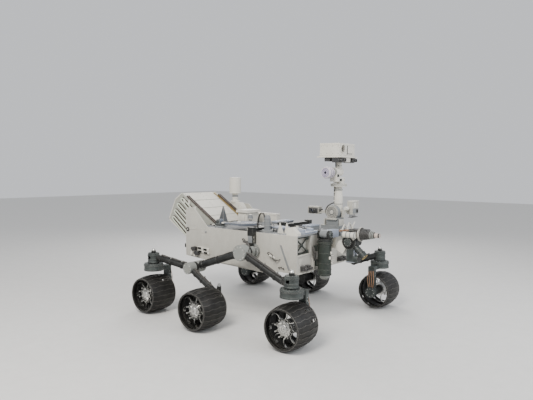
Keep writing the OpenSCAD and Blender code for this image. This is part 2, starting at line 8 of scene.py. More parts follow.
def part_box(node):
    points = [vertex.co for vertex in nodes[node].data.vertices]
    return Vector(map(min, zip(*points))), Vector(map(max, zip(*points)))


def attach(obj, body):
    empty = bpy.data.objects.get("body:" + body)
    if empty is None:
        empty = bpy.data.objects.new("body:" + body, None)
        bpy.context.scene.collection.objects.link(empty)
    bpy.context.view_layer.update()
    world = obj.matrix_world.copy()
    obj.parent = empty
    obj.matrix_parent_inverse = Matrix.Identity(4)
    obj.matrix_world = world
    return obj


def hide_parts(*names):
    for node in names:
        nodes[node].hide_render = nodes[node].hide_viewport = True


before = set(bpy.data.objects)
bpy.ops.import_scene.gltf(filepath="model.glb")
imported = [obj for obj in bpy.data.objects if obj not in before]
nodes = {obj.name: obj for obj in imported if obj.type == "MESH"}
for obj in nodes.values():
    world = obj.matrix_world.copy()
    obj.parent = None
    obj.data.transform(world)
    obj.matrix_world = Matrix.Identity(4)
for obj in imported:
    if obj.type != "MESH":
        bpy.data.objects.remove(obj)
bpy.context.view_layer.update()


# ---------------------------------------------------------------- body shell
# The electronics box: machined aluminium panels, screwed together along their edges and sprayed
# with matte warm grey paint. The rear side panels rise to a fin beside the power source.

def linear(code):
    """The linear colour of an sRGB hex value."""
    parts = [int(code[i:i + 2], 16) / 255 for i in (1, 3, 5)]
    return [c / 12.92 if c <= 0.04045 else ((c + 0.055) / 1.055) ** 2.4 for c in parts] + [1.0]


def add_node(tree, kind, inputs, **settings):
    """Adds a shader node with its settings, and sets or links its inputs."""
    node = tree.nodes.new("ShaderNode" + kind)
    for name, value in settings.items():
        setattr(node, name, value)
    for name, value in inputs.items():
        if isinstance(value, bpy.types.NodeSocket):
            tree.links.new(value, node.inputs[name])
        else:
            node.inputs[name].default_value = value
    return node


def sprayed(name, light, dark, rough, dust=0.16):
    """Sprayed matte paint. The eye sees soft clouding, streaks down the walls, a fine orange peel
    about 3 mm across, paint rubbed pale on the edges, and rust-coloured dust low down."""
    finish = bpy.data.materials.new(name)
    finish.use_nodes = True
    tree = finish.node_tree
    shader = tree.nodes["Principled BSDF"]
    place = add_node(tree, "TexCoord", {}).outputs["Object"]
    cloud = add_node(tree, "TexNoise", {"Vector": place, "Scale": 5.0, "Detail": 6.0})
    drawn = add_node(tree, "Mapping", {"Vector": place, "Scale": (6.0, 6.0, 2.0)})
    streak = add_node(tree, "TexNoise", {"Vector": drawn.outputs["Vector"], "Scale": 2.0, "Detail": 5.0})
    blend = add_node(tree, "Math", {0: cloud.outputs["Fac"], 1: streak.outputs["Fac"]}, operation="ADD")
    tone = add_node(tree, "ValToRGB", {"Fac": add_node(
        tree, "MapRange", {"Value": blend.outputs["Value"], "From Min": 0.55,
                           "From Max": 1.45}).outputs["Result"]})
    tone.color_ramp.elements[0].color = linear(dark)
    tone.color_ramp.elements[1].color = linear(light)
    height = add_node(tree, "SeparateXYZ", {"Vector": place}).outputs["Z"]
    low = add_node(tree, "MapRange", {"Value": height, "From Min": 0.3, "From Max": 1.25,
                                      "To Min": 1.0, "To Max": 0.25})
    speck = add_node(tree, "TexNoise", {"Vector": place, "Scale": 38.0, "Detail": 6.0})
    patch = add_node(tree, "MapRange", {"Value": speck.outputs["Fac"], "From Min": 0.42, "From Max": 0.70,
                                        "To Max": dust * 1.3})
    amount = add_node(tree, "Math", {0: low.outputs["Result"], 1: patch.outputs["Result"]},
                      operation="MULTIPLY")
    dusty = add_node(tree, "Mix", {0: amount.outputs["Value"], 6: tone.outputs["Color"],
                                   7: linear("#9C7358")}, data_type="RGBA")
    corner = add_node(tree, "Bevel", {"Radius": 0.005}, samples=4)
    flat = add_node(tree, "NewGeometry", {})
    turned_away = add_node(tree, "VectorMath", {0: corner.outputs["Normal"], 1: flat.outputs["Normal"]},
                           operation="DOT_PRODUCT")
    edge = add_node(tree, "MapRange", {"Value": turned_away.outputs["Value"], "From Min": 0.99,
                                       "From Max": 0.80, "To Max": 0.55})
    worn = add_node(tree, "Mix", {0: edge.outputs["Result"], 6: dusty.outputs[2],
                                  7: linear("#E4E0D6") if light > "#9" else linear("#A5A39C")},
                    data_type="RGBA")
    tree.links.new(worn.outputs[2], shader.inputs["Base Color"])
    peel = add_node(tree, "TexNoise", {"Vector": place, "Scale": 330.0, "Detail": 3.0})
    sheen = add_node(tree, "MapRange", {"Value": speck.outputs["Fac"], "From Min": 0.3, "From Max": 0.7,
                                        "To Min": rough - 0.10, "To Max": rough + 0.10})
    tree.links.new(sheen.outputs["Result"], shader.inputs["Roughness"])
    bump = add_node(tree, "Bump", {"Height": peel.outputs["Fac"], "Strength": 0.2, "Distance": 0.0008})
    tree.links.new(bump.outputs["Normal"], shader.inputs["Normal"])
    return finish


def dress(finish, *names):
    """Gives CAD nodes their finish."""
    for name in names:
        for slot in nodes[name].material_slots:
            slot.material = finish


def clear():
    """Object mode with nothing selected, since loading leaves the CAD nodes selected."""
    if bpy.context.object and bpy.context.object.mode != "OBJECT":
        bpy.ops.object.mode_set(mode="OBJECT")
    bpy.ops.object.select_all(action="DESELECT")


def block(low, high, edge=0.004, segments=2):
    """A box between two corners, applied to its size, with its edges rounded."""
    clear()
    low, high = Vector(low), Vector(high)
    bpy.ops.mesh.primitive_cube_add(size=1, location=(low + high) / 2, scale=high - low)
    bpy.ops.object.transform_apply(location=True, rotation=True, scale=True)
    bpy.ops.object.mode_set(mode="EDIT")
    bpy.ops.mesh.select_all(action="SELECT")
    bpy.ops.mesh.bevel(offset=edge, segments=segments, affect="EDGES")
    bpy.ops.object.mode_set(mode="OBJECT")
    return bpy.context.object


def pen_line(points):
    """Draws a line of edges through the points, from one vertex extruded along it."""
    clear()
    bpy.ops.mesh.primitive_plane_add(size=0.01)
    bpy.ops.object.mode_set(mode="EDIT")
    bpy.ops.mesh.select_all(action="SELECT")
    bpy.ops.mesh.merge(type="CENTER")
    bpy.ops.transform.translate(value=points[0])
    for a, b in zip(points, points[1:]):
        bpy.ops.mesh.extrude_vertices_move(TRANSFORM_OT_translate={"value": b - a})
    bpy.ops.mesh.select_all(action="SELECT")


def plate(points, depth, edge=0.0):
    """A plate cut to an outline of points and extruded by depth, with its edges eased."""
    pen_line([Vector(p) for p in points])
    bpy.ops.mesh.edge_face_add()
    bpy.ops.mesh.extrude_region_move(TRANSFORM_OT_translate={"value": Vector(depth)})
    bpy.ops.mesh.select_all(action="SELECT")
    bpy.ops.mesh.normals_make_consistent(inside=False)
    if edge:
        bpy.ops.mesh.bevel(offset=edge, segments=1, affect="EDGES")
    bpy.ops.object.mode_set(mode="OBJECT")
    return bpy.context.object


def spun(section, centre, axis, steps=32):
    """A turned part: its half section, as (distance along the axis, radius), spun all round."""
    axis, centre = Vector(axis).normalized(), Vector(centre)
    side = axis.orthogonal().normalized()
    pen_line([centre + axis * a + side * r for a, r in section])
    bpy.ops.mesh.spin(steps=steps, angle=2 * math.pi, center=centre, axis=axis)
    bpy.ops.mesh.select_all(action="SELECT")
    bpy.ops.mesh.remove_doubles(threshold=0.00002)
    bpy.ops.mesh.normals_make_consistent(inside=False)
    bpy.ops.object.mode_set(mode="OBJECT")
    return bpy.context.object


def joined(*pieces):
    """Joins shapes of one piece."""
    clear()
    for piece in pieces:
        piece.select_set(True)
    bpy.context.view_layer.objects.active = pieces[0]
    if len(pieces) > 1:
        bpy.ops.object.join()
    return bpy.context.object


def copied(model, places):
    """Copies of one modelled shape, each with its own mesh, set at these places and joined."""
    made = []
    for place in places:
        copy = model.copy()
        copy.data = model.data.copy()
        bpy.context.scene.collection.objects.link(copy)
        copy.data.transform(place)
        if place.determinant() < 0:
            copy.data.flip_normals()
        made.append(copy)
    bpy.data.objects.remove(model)
    return joined(*made)


def finished(piece, name, finish, body="root", smooth=35):
    """Smooths a piece under this angle, names it, and gives it its finish and its body."""
    clear()
    piece.select_set(True)
    bpy.context.view_layer.objects.active = piece
    bpy.ops.object.shade_smooth_by_angle(angle=math.radians(smooth))
    piece.name = piece.data.name = name
    piece.data.materials.clear()
    piece.data.materials.append(finish)
    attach(piece, body)
    return piece


def facing(place, normal):
    """Where a shape modelled at the origin, pointing up, stands on a face."""
    return Matrix.Translation(Vector(place)) @ Vector(normal).to_track_quat("Z", "Y").to_matrix().to_4x4()


def screw(radius=0.006):
    """A pan-head screw with a driver recess, pointing up at the origin."""
    return spun([(-0.001, 0), (-0.001, radius), (radius * 0.35, radius), (radius * 0.6, radius * 0.7),
                 (radius * 0.6, radius * 0.35), (radius * 0.3, radius * 0.3), (radius * 0.3, 0)],
                (0, 0, 0), (0, 0, 1), steps=8)


def spaced(a, b, step):
    """Points from a to b, about this far apart."""
    a, b = Vector(a), Vector(b)
    count = max(1, round((b - a).length / step))
    return [a.lerp(b, i / count) for i in range(count + 1)]


# Matte warm grey paint on aluminium: soft clouds, faint streaks, pale rubbed edges.
panel_paint = sprayed("sprayed_aluminium_panel", "#BCBAB1", "#AAA89F", 0.62)
dress(panel_paint, "chassis_box", "side_panel_starboard", "side_panel_port", "front_panel", "belly_pan")

low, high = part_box("side_panel_starboard")
rear, front, bottom = low.x, high.x, low.z
skin = -low.y                       # half the width over the side panels
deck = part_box("top_deck")[1].z
screw_places = []
for side in (-1, 1):
    y = side * skin
    out = (0, side, 0)
    for a, b in [((rear + 0.02, y, bottom + 0.06), (rear + 0.02, y, deck + 0.20)),
                 ((rear + 0.10, y, deck - 0.03), (0.15, y, deck - 0.03)),
                 ((rear + 0.10, y, bottom + 0.065), (-0.60, y, bottom + 0.03)),
                 ((-0.56, y, bottom + 0.025), (0.25, y, bottom + 0.025)),
                 ((-0.771, y, 0.85), (-0.771, y, 1.10)), ((-0.711, y, 0.85), (-0.711, y, 1.10)),
                 ((0.248, y, bottom + 0.06), (0.248, y, deck - 0.25)),
                 ((front - 0.02, y, bottom + 0.03), (front - 0.02, y, deck - 0.03)),
                 ((rear + 0.08, y, deck + 0.22), (-0.90, y, deck + 0.235))]:
        screw_places += [facing(p, out) for p in spaced(a, b, 0.055)]
    for z in (bottom + 0.02, bottom + 0.20, deck - 0.045):
        screw_places += [facing(p, (1, 0, 0)) for p in
                         spaced((front, side * 0.58, z),
                                (front, side * (0.35 if z > 1 and side > 0 else 0.33), z),
                                0.06) if z < 1 or side > 0]
screw_places += [facing(p, (1, 0, 0)) for p in spaced((front, 0.30, bottom + 0.02),
                                                      (front, -0.05, bottom + 0.02), 0.07)]
screw_places += [facing(p, (0, 0, 1)) for s in (-1, 1)
                 for p in spaced((rear + 0.30, s * 0.585, deck), (front - 0.25, s * 0.585, deck), 0.09)]
finished(copied(screw(), screw_places), "panel_screws", panel_paint)

# Hatches and doubler plates on the side panels: thin frames riveted on, over an access opening,
# and the seam strips that cover the joints between the panels.

def raised_frame(low, high, out, border=0.012, depth=0.004):
    """A flat frame on a wall across Y: a plate inset all round, with its middle pushed back in."""
    clear()
    low, high = Vector(low), Vector(high)
    bpy.ops.mesh.primitive_cube_add(size=1, location=(low + high) / 2 + Vector((0, out * depth / 2, 0)),
                                    scale=(high.x - low.x, depth, high.z - low.z))
    bpy.ops.object.transform_apply(location=True, rotation=True, scale=True)
    bpy.ops.object.mode_set(mode="EDIT")
    mesh = bmesh.from_edit_mesh(bpy.context.object.data)
    for face in mesh.faces:
        face.select_set(face.normal.y * out > 0.5)
    bmesh.update_edit_mesh(bpy.context.object.data)
    bpy.ops.mesh.inset(thickness=border, depth=0)
    bpy.ops.mesh.inset(thickness=0.001, depth=-depth * 0.8)
    bpy.ops.object.mode_set(mode="OBJECT")
    return bpy.context.object


for side, name in ((-1, "starboard"), (1, "port")):
    y = side * skin
    frames = [raised_frame((-0.254, y, 0.874), (-0.109, y, 1.022), side, 0.008),
              raised_frame((-0.70, y, 0.93), (-0.50, y, 1.06), side, 0.006, 0.003),
              raised_frame((-1.02, y, 1.18), (-0.83, y, 1.36), side, 0.010, 0.003),
              block((-1.035, min(y, y + side * 0.004), 1.118),
                    (-0.75, max(y, y + side * 0.004), 1.130), 0.001, 1), block((0.254, y, bottom + 0.02),
                    (0.268, max(y, y + side * 0.004), deck - 0.02), 0.001, 1)]
    finished(joined(*frames), "side_hatches_" + name, panel_paint)

# Small fittings on the rear of each side panel: a round sight with a white centre, a grey stud,
# connector boxes with dark windows, and two silver sensors, all screwed to the panel.

def machined(name, light, dark, rough, metal=1.0):
    """Machined or anodised metal. The eye sees a satin face, a grain about 1.5 mm long drawn out
    along the part, faint cloudy staining, and edges rubbed to bright metal."""
    finish = bpy.data.materials.new(name)
    finish.use_nodes = True
    tree = finish.node_tree
    shader = tree.nodes["Principled BSDF"]
    shader.inputs["Metallic"].default_value = metal
    place = add_node(tree, "TexCoord", {}).outputs["Object"]
    cloud = add_node(tree, "TexNoise", {"Vector": place, "Scale": 12.0, "Detail": 6.0})
    tone = add_node(tree, "ValToRGB", {"Fac": cloud.outputs["Fac"]})
    tone.color_ramp.elements[0].position = 0.35
    tone.color_ramp.elements[0].color = linear(dark)
    tone.color_ramp.elements[1].position = 0.65
    tone.color_ramp.elements[1].color = linear(light)
    fleck = add_node(tree, "TexNoise", {"Vector": place, "Scale": 55.0, "Detail": 4.0})
    grime = add_node(tree, "MapRange", {"Value": fleck.outputs["Fac"], "From Min": 0.58, "From Max": 0.80,
                                        "To Max": 0.16})
    stained = add_node(tree, "Mix", {0: grime.outputs["Result"], 6: tone.outputs["Color"],
                                     7: linear("#6E5443")}, data_type="RGBA")
    corner = add_node(tree, "Bevel", {"Radius": 0.004}, samples=4)
    flat = add_node(tree, "NewGeometry", {})
    turned_away = add_node(tree, "VectorMath", {0: corner.outputs["Normal"], 1: flat.outputs["Normal"]},
                           operation="DOT_PRODUCT")
    edge = add_node(tree, "MapRange", {"Value": turned_away.outputs["Value"], "From Min": 0.985,
                                       "From Max": 0.75, "To Max": 0.5})
    rubbed = add_node(tree, "Mix", {0: edge.outputs["Result"], 6: stained.outputs[2],
                                    7: linear("#B9B6AF")}, data_type="RGBA")
    tree.links.new(rubbed.outputs[2], shader.inputs["Base Color"])
    sheen = add_node(tree, "MapRange", {"Value": fleck.outputs["Fac"], "From Min": 0.3, "From Max": 0.7,
                                        "To Min": rough - 0.08, "To Max": rough + 0.12})
    tree.links.new(sheen.outputs["Result"], shader.inputs["Roughness"])
    drawn = add_node(tree, "Mapping", {"Vector": place, "Scale": (90.0, 650.0, 650.0)})
    grain = add_node(tree, "TexNoise", {"Vector": drawn.outputs["Vector"], "Scale": 1.0, "Detail": 3.0})
    bump = add_node(tree, "Bump", {"Height": grain.outputs["Fac"], "Strength": 0.15, "Distance": 0.0005})
    tree.links.new(bump.outputs["Normal"], shader.inputs["Normal"])
    return finish


# Black anodised aluminium: satin near-black, edges rubbed to bare metal.
black_anodise = machined("black_anodised_aluminium", "#343534", "#222322", 0.42, 0.55)
# Bare machined titanium: bright satin, a fine drawn grain, slightly cloudy.
bright_metal = machined("machined_bare_titanium", "#CDCCC8", "#A5A5A3", 0.28)
# White thermal paint: chalky white, faintly cream, a little dust low down.
white_paint = sprayed("white_thermal_paint", "#DBD8CE", "#C6C3B9", 0.55, 0.10)
# Mid grey equipment paint: even, matte, paler along its edges.
grey_paint = sprayed("grey_equipment_paint", "#85898A", "#6B6F70", 0.5)

for side, name in ((-1, "starboard"), (1, "port")):
    y = side * skin
    out = (0, side, 0)
    eye = spun([(0, 0), (0, 0.030), (0.010, 0.030), (0.012, 0.026), (0.008, 0.020), (0.008, 0)],
               (-0.996, y, 1.113), out, 24)
    stud = spun([(0, 0), (0, 0.014), (0.012, 0.012), (0.016, 0.006), (0.016, 0)], (-0.633, y, 1.10), out, 16)
    windows = [block((x, y - (0.022 if side < 0 else -0.018), z),
                     (x + 0.066, y + (0.022 if side > 0 else -0.018), z + 0.026), 0.004)
               for x, z in ((-0.775, 0.852), (-0.665, 0.842), (-0.765, 0.806), (-0.655, 0.796))]
    # The mid grey slanted strip along the front gusset's edge is painted shade: it stands in for the shadow gap
    # there.
    shadow_gap_strip = plate([(0.651, y, 1.043), (0.671, y, 1.043), (0.806, y, 0.750), (0.780, y, 0.745)],
                  (0, side * 0.008, 0))
    dots = [spun([(0, 0), (0, 0.011), (0.006, 0.010), (0.006, 0)], (x, y, z), out, 12)
            for x, z in ((0.640, 0.757), (0.672, 0.762), (0.705, 0.752))]
    tail = block((rear - 0.030, y - 0.034 if side > 0 else y + 0.004, 0.84),
                 (rear + 0.004, y - 0.004 if side > 0 else y + 0.034, 0.90), 0.006)
    finished(joined(eye, *windows, *dots, tail), "side_fittings_" + name, black_anodise)
    finished(joined(stud, shadow_gap_strip), "side_stud_and_shadow_strip_" + name, grey_paint)
    core = spun([(0.004, 0), (0.004, 0.010), (0.012, 0.009), (0.014, 0)], (-0.996, y, 1.113), out, 16)
    cases = [block((x, y if side > 0 else y - 0.018, z), (x + 0.11, y + 0.018
                                                          if side > 0 else y, z + 0.042), 0.006)
             for x, z in ((-0.786, 0.846), (-0.676, 0.836), (-0.776, 0.800), (-0.666, 0.790))]
    sensors = [spun([(0, 0), (0, 0.024), (0.030, 0.024), (0.036, 0.018), (0.036, 0)], (x, y, z), out, 20)
               for x, z in ((-0.895, 0.775), (-0.83, 0.762))]
    clasp = block((-0.93, y if side > 0 else y - 0.012, 0.742),
                  (-0.80, y + 0.012 if side > 0 else y, 0.80), 0.003)
    finished(joined(core, *cases, *sensors, clasp), "side_sensors_" + name, white_paint)


# ---------------------------------------------------------------- front of the body
# The front panel has a recess braced by crossed bars beside the arm's shoulder. Its ledge, shelf
# and doubler plates are riveted on and sprayed like the body; the bars are anodised dark green.

# Dark green anodised metal: satin, cloudy green black.
brace_finish = machined("green_anodised_brace", "#3B423C", "#282E2A", 0.48, 0.4)
dress(brace_finish, "front_braces", "arm_mount")
ledge = block((front - 0.004, -0.60, bottom - 0.002), (front + 0.020, -0.33, bottom + 0.012), 0.003)
shelf = block((front - 0.03, -0.60, bottom + 0.217), (front + 0.012, -0.315, bottom + 0.231), 0.003)
pads = [block((front, y - 0.045, bottom + 0.10), (front + 0.006, y + 0.045, bottom + 0.19), 0.002)
        for y in (-0.52, 0.42)]
cham = plate([(front, -0.29, bottom + 0.19), (front + 0.03, -0.29, bottom + 0.13),
              (front + 0.03, -0.29, bottom + 0.02), (front, -0.29, bottom + 0.01)], (0, 0.035, 0))
finished(joined(ledge, shelf, *pads, cham), "front_doublers", panel_paint)
nodes_of_brace = [spun([(0, 0), (0, 0.022), (0.008, 0.022), (0.012, 0.016), (0.012, 0)],
                       (front - 0.037, y, z), (1, 0, 0), 16)
                  for y, z in ((-0.455, 1.037), (-0.575, 0.955), (-0.335, 0.955), (-0.575, 1.12),
                               (-0.335, 1.12))]
finished(joined(*nodes_of_brace), "brace_bosses", brace_finish)


# ---------------------------------------------------------------- wheels
# Each wheel is turned from one block of aluminium and black anodised: a thin crowned skin with
# grousers across it, a stiffening ring inside, and titanium flexures to the hub.

# Black anodised wheel skin: dull black with brownish scuffs.
wheel_black = machined("black_anodised_wheel", "#2B2A28", "#191918", 0.52, 0.45)
# The same anodising rubbed a little lighter on the tread bars.
grouser_black = machined("worn_black_grouser", "#373431", "#242220", 0.5, 0.5)
dress(bright_metal, *[n for n in nodes if n.startswith("hub_")])

rim_low, rim_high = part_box("rim_middle_starboard")
wheel_radius = (rim_high.z - rim_low.z) / 2
half_width = (rim_high.y - rim_low.y) / 2
grouser_h = 0.007


def crown(y, r=wheel_radius):
    """Radius of the wheel's crowned face at a distance from its middle."""
    return r - 0.022 * (abs(y) / half_width) ** 2.4


def wheel_skin():
    """The thin skin, with plain track marks cut through it, at the origin with its outside at -Y."""
    count = 14
    rows = [-half_width + 2 * half_width * i / count for i in range(count + 1)]
    skin_sheet = spun([(y, crown(y) - grouser_h) for y in rows], (0, 0, 0), (0, 1, 0), 96)
    bpy.ops.object.mode_set(mode="EDIT")
    bpy.ops.mesh.select_all(action="DESELECT")
    mesh = bmesh.from_edit_mesh(skin_sheet.data)
    for face in mesh.faces:
        middle = face.calc_center_median()
        angle = math.degrees(math.atan2(middle.z, middle.x)) % 360
        step = int(angle / 3.75)
        row = int((middle.y + half_width) / (2 * half_width) * count)
        face.select_set(row in (8, 10, 12) and step in (2, 3, 10, 11, 18, 19))
    bmesh.update_edit_mesh(skin_sheet.data)
    bpy.ops.mesh.delete(type="FACE")
    bpy.ops.object.mode_set(mode="OBJECT")
    wall = skin_sheet.modifiers.new("wall", "SOLIDIFY")
    wall.thickness = 0.004
    wall.offset = -1
    bpy.ops.object.modifier_apply(modifier="wall")
    edges = []
    for s in (-1, 1):
        r = crown(half_width) - grouser_h
        bead = [(s * half_width, r - 0.003), (s * (half_width - 0.002), r + 0.004),
                (s * (half_width - 0.010), r + 0.005),
                (s * (half_width - 0.014), r - 0.004), (s * (half_width - 0.012), r - 0.016),
                (s * (half_width - 0.002), r - 0.016), (s * half_width, r - 0.003)]
        edges.append(spun(bead, (0, 0, 0), (0, 1, 0), 64))
    ring_at = -half_width + 0.095
    ring_in = wheel_radius - 0.036
    ring = [(ring_at - 0.009, ring_in), (ring_at - 0.009, crown(ring_at) - 0.009),
            (ring_at - 0.002, crown(ring_at) - 0.009), (ring_at - 0.002, ring_in + 0.010),
            (ring_at + 0.002, ring_in + 0.010), (ring_at + 0.002, crown(ring_at) - 0.009),
            (ring_at + 0.009, crown(ring_at) - 0.009), (ring_at + 0.009, ring_in), (ring_at - 0.009, ring_in)]
    edges.append(spun(ring, (0, 0, 0), (0, 1, 0), 64))
    inner = [(0.060, crown(0.06) - 0.009), (0.060, crown(0.06) - 0.024), (0.064, crown(0.06) - 0.024),
             (0.064, crown(0.06) - 0.009)]
    edges.append(spun(inner, (0, 0, 0), (0, 1, 0), 64))
    return joined(skin_sheet, *edges)


def grousers():
    """Twenty-four bars across the tread, each with a shallow zigzag, standing on the skin."""
    count = 12
    rows = [-half_width + 0.004 + 2 * (half_width - 0.004) * i / count for i in range(count + 1)]
    shift = [0.0 if i % 4 == 0 else (0.010 if i % 4 == 2 else 0.005) for i in range(count + 1)]
    line = [Vector((s, y, crown(y) - grouser_h - 0.001)) for y, s in zip(rows, shift)]
    pen_line(line)
    bpy.ops.mesh.extrude_region_move(TRANSFORM_OT_translate={"value": Vector((0, 0, grouser_h))})
    bar = bpy.context.object
    bpy.ops.object.mode_set(mode="OBJECT")
    wall = bar.modifiers.new("wall", "SOLIDIFY")
    wall.thickness = 0.007
    wall.offset = 0
    bpy.ops.object.modifier_apply(modifier="wall")
    bpy.ops.object.mode_set(mode="EDIT")
    bpy.ops.mesh.select_all(action="SELECT")
    bpy.ops.mesh.normals_make_consistent(inside=False)
    bpy.ops.object.mode_set(mode="OBJECT")
    return copied(bar, [Matrix.Rotation(math.tau * (i + 0.5) / 24, 4, "Y") for i in range(24)])


def flexure_ends():
    """Clamp blocks that hold the flexures' outer ends to the ring, with two bolts each."""
    ring_at = -half_width + 0.095
    shoe = block((-0.020, ring_at - 0.016, wheel_radius - 0.047),
                 (0.020, ring_at + 0.016, wheel_radius - 0.034), 0.003)
    bolts = [spun([(0, 0), (0, 0.005), (0.004, 0.005), (0.005, 0)],
                  (x, ring_at - 0.016, wheel_radius - 0.041), (0, -1, 0), 6) for x in (-0.012, 0.012)]
    shoe = joined(shoe, *bolts)
    return copied(shoe, [Matrix.Rotation(math.tau * i / 8 + 0.62, 4, "Y") for i in range(8)])


def hub_face():
    """The hub's outer face: a stepped cover with a ring of bolts, radial ribs and drive pins."""
    at = -half_width + 0.065
    cover = spun([(0.002, 0), (0.002, 0.082), (-0.006, 0.082), (-0.010, 0.076), (-0.010, 0.052),
                  (-0.020, 0.048), (-0.024, 0.042), (-0.024, 0.026), (-0.016, 0.022), (-0.016, 0.010),
                  (-0.028, 0.008), (-0.028, 0)], (0, at, 0), (0, 1, 0), 40)
    bolt = spun([(0, 0), (0, 0.0065), (0.009, 0.0065), (0.010, 0.004), (0.010, 0)], (0, at - 0.009, 0.065),
                (0, -1, 0), 6)
    ring = copied(bolt, [Matrix.Rotation(math.tau * i / 12, 4, "Y") for i in range(12)])
    pin = spun([(0, 0), (0, 0.011), (0.040, 0.011), (0.046, 0.007), (0.046, 0)], (0, at + 0.004, 0.098),
               (0, -1, 0), 12)
    foot = block((-0.013, at - 0.002, 0.080), (0.013, at + 0.026, 0.112), 0.003)
    pins = copied(joined(pin, foot), [Matrix.Rotation(math.tau * (i + 0.5) / 8, 4, "Y") for i in range(8)])
    rib = block((-0.003, at - 0.020, 0.040), (0.003, at - 0.008, 0.078), 0.001, 1)
    ribs = copied(rib, [Matrix.Rotation(math.tau * (i + 0.5) / 12, 4, "Y") for i in range(12)])
    return joined(cover, ring, pins, ribs)


models = [(wheel_skin(), "rim_skin_", wheel_black, "dark_metal", 40),
          (grousers(), "grousers_", grouser_black, "dark_metal", 20),
          (joined(flexure_ends(), hub_face()), "hub_face_", bright_metal, "wheel_metal", 35)]
rolled = {"front_starboard": 8, "middle_starboard": 33, "rear_starboard": 41, "front_port": 200,
          "middle_port": 120, "rear_port": 65}
for model, prefix, finish, slot, smooth in models:
    for name, angle in rolled.items():
        side = -1 if name.endswith("starboard") else 1
        low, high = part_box("hub_" + name)
        centre = Vector(((low.x + high.x) / 2, (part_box("rim_" + name)[0].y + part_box("rim_" + name)[1].y) / 2,
                         wheel_radius))
        if prefix == "hub_face_":
            angle = 0
        place = (Matrix.Translation(centre) @ Matrix.Rotation(-math.radians(angle), 4, "Y")
                 @ Matrix.Diagonal((1, -side, 1, 1)))
        twin = model.copy()
        twin.data = model.data.copy()
        bpy.context.scene.collection.objects.link(twin)
        twin.data.transform(place)
        if side > 0:
            twin.data.flip_normals()
        finished(twin, prefix + name, finish, "wheel_" + name, smooth)
        if prefix == "rim_skin_":
            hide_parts("rim_" + name)
    bpy.data.objects.remove(model)


# ---------------------------------------------------------------- rocker and bogie
# Black anodised titanium tubes with machined end fittings. Grey caps cover the pivots, bolted
# collars clamp the tubes, and cable bundles run along them to the motors.

dress(black_anodise, "rocker_starboard", "rocker_port", "bogie_starboard", "bogie_port", "differential_bar")
# Grey paint on the pivot covers: matte, slightly green.
cap_paint = sprayed("grey_pivot_cover_paint", "#8F938F", "#777B77", 0.55)
# Braided black sleeve: dull, near black.
cable_black = sprayed("black_cable_sleeve", "#2E2D2C", "#1D1C1C", 0.6, 0.06)
# Amber film tape over a harness: warm brown with a soft shine.
cable_amber = sprayed("amber_film_harness", "#A8703A", "#7C4C24", 0.4, 0.1)


def bent(points, radius, closed=False, rings=8):
    """A round cable or tube that follows smooth bends through its guide points."""
    clear()
    route = bpy.data.curves.new("route", "CURVE")
    route.dimensions = "3D"
    line = route.splines.new("NURBS")
    line.points.add(len(points) - 1)
    for knot, p in zip(line.points, points):
        knot.co = (*p, 1)
    line.order_u = min(4, len(points))
    line.use_endpoint_u = not closed
    line.use_cyclic_u = closed
    line.resolution_u = 5
    route.bevel_depth = radius
    route.bevel_resolution = 2
    route.use_fill_caps = not closed
    piece = bpy.data.objects.new("route", route)
    bpy.context.scene.collection.objects.link(piece)
    piece.select_set(True)
    bpy.context.view_layer.objects.active = piece
    bpy.ops.object.convert(target="MESH")
    bpy.ops.object.mode_set(mode="EDIT")
    bpy.ops.mesh.select_all(action="SELECT")
    bpy.ops.mesh.remove_doubles(threshold=0.00002)
    bpy.ops.mesh.normals_make_consistent(inside=False)
    bpy.ops.object.mode_set(mode="OBJECT")
    return bpy.context.object


def hoop(start, stop, inside, outside, centre, axis, steps=32):
    """A plain band round a tube, from start to stop along its axis."""
    return spun([(start, inside), (start, outside), (stop, outside), (stop, inside)], centre, axis, steps)


def bolt_circle(centre, normal, radius, count):
    """Places for a ring of screws whose heads look along the normal."""
    normal = Vector(normal)
    first = Vector((0, 1, 0)) if normal.x else Vector((1, 0, 0))
    second = Vector((0, 1, 0)) if normal.z else Vector((0, 0, 1))
    return [facing(Vector(centre) + radius * (math.cos(t) * first + math.sin(t) * second), normal)
            for t in (math.tau * i / count for i in range(count))]


def fasten(places, name, radius=0.006, body="root"):
    """Bare metal screws at the places, as one piece."""
    finished(copied(screw(radius), places), name, bright_metal, body)


def clamp_ring(place, along, radius, width=0.024):
    """A clamp on a tube: a ring with its edges rounded."""
    along = Vector(along).normalized()
    return spun([(-width / 2, radius - 0.002), (-width / 2, radius + 0.004),
                 (-width / 2 + 0.003, radius + 0.007),
                 (width / 2 - 0.003, radius + 0.007), (width / 2, radius + 0.004),
                 (width / 2, radius - 0.002),
                 (-width / 2, radius - 0.002)], place, along, 32)


def lug_bolt(place, along, radius):
    """The bright bolt and nut of a clamp, on top of its ring."""
    along = Vector(along).normalized()
    up = (Vector((0, 0, 1)) - along * along.z).normalized()
    at = Vector(place) + up * (radius + 0.012)
    across = along.cross(up)
    return spun([(-0.020, 0), (-0.020, 0.008), (-0.012, 0.008), (-0.012, 0.005), (0.012, 0.005),
                 (0.012, 0.008), (0.020, 0.008), (0.020, 0)], at, across, 8)


diff_low, diff_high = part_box("differential_bar")
pivot_x = (diff_low.x + diff_high.x) / 2
pivot_z, bogie_z = 0.930, 0.655
bogie_x = -0.570
front_axle = (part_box("hub_front_starboard")[0].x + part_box("hub_front_starboard")[1].x) / 2
rear_axle = (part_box("hub_rear_starboard")[0].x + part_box("hub_rear_starboard")[1].x) / 2

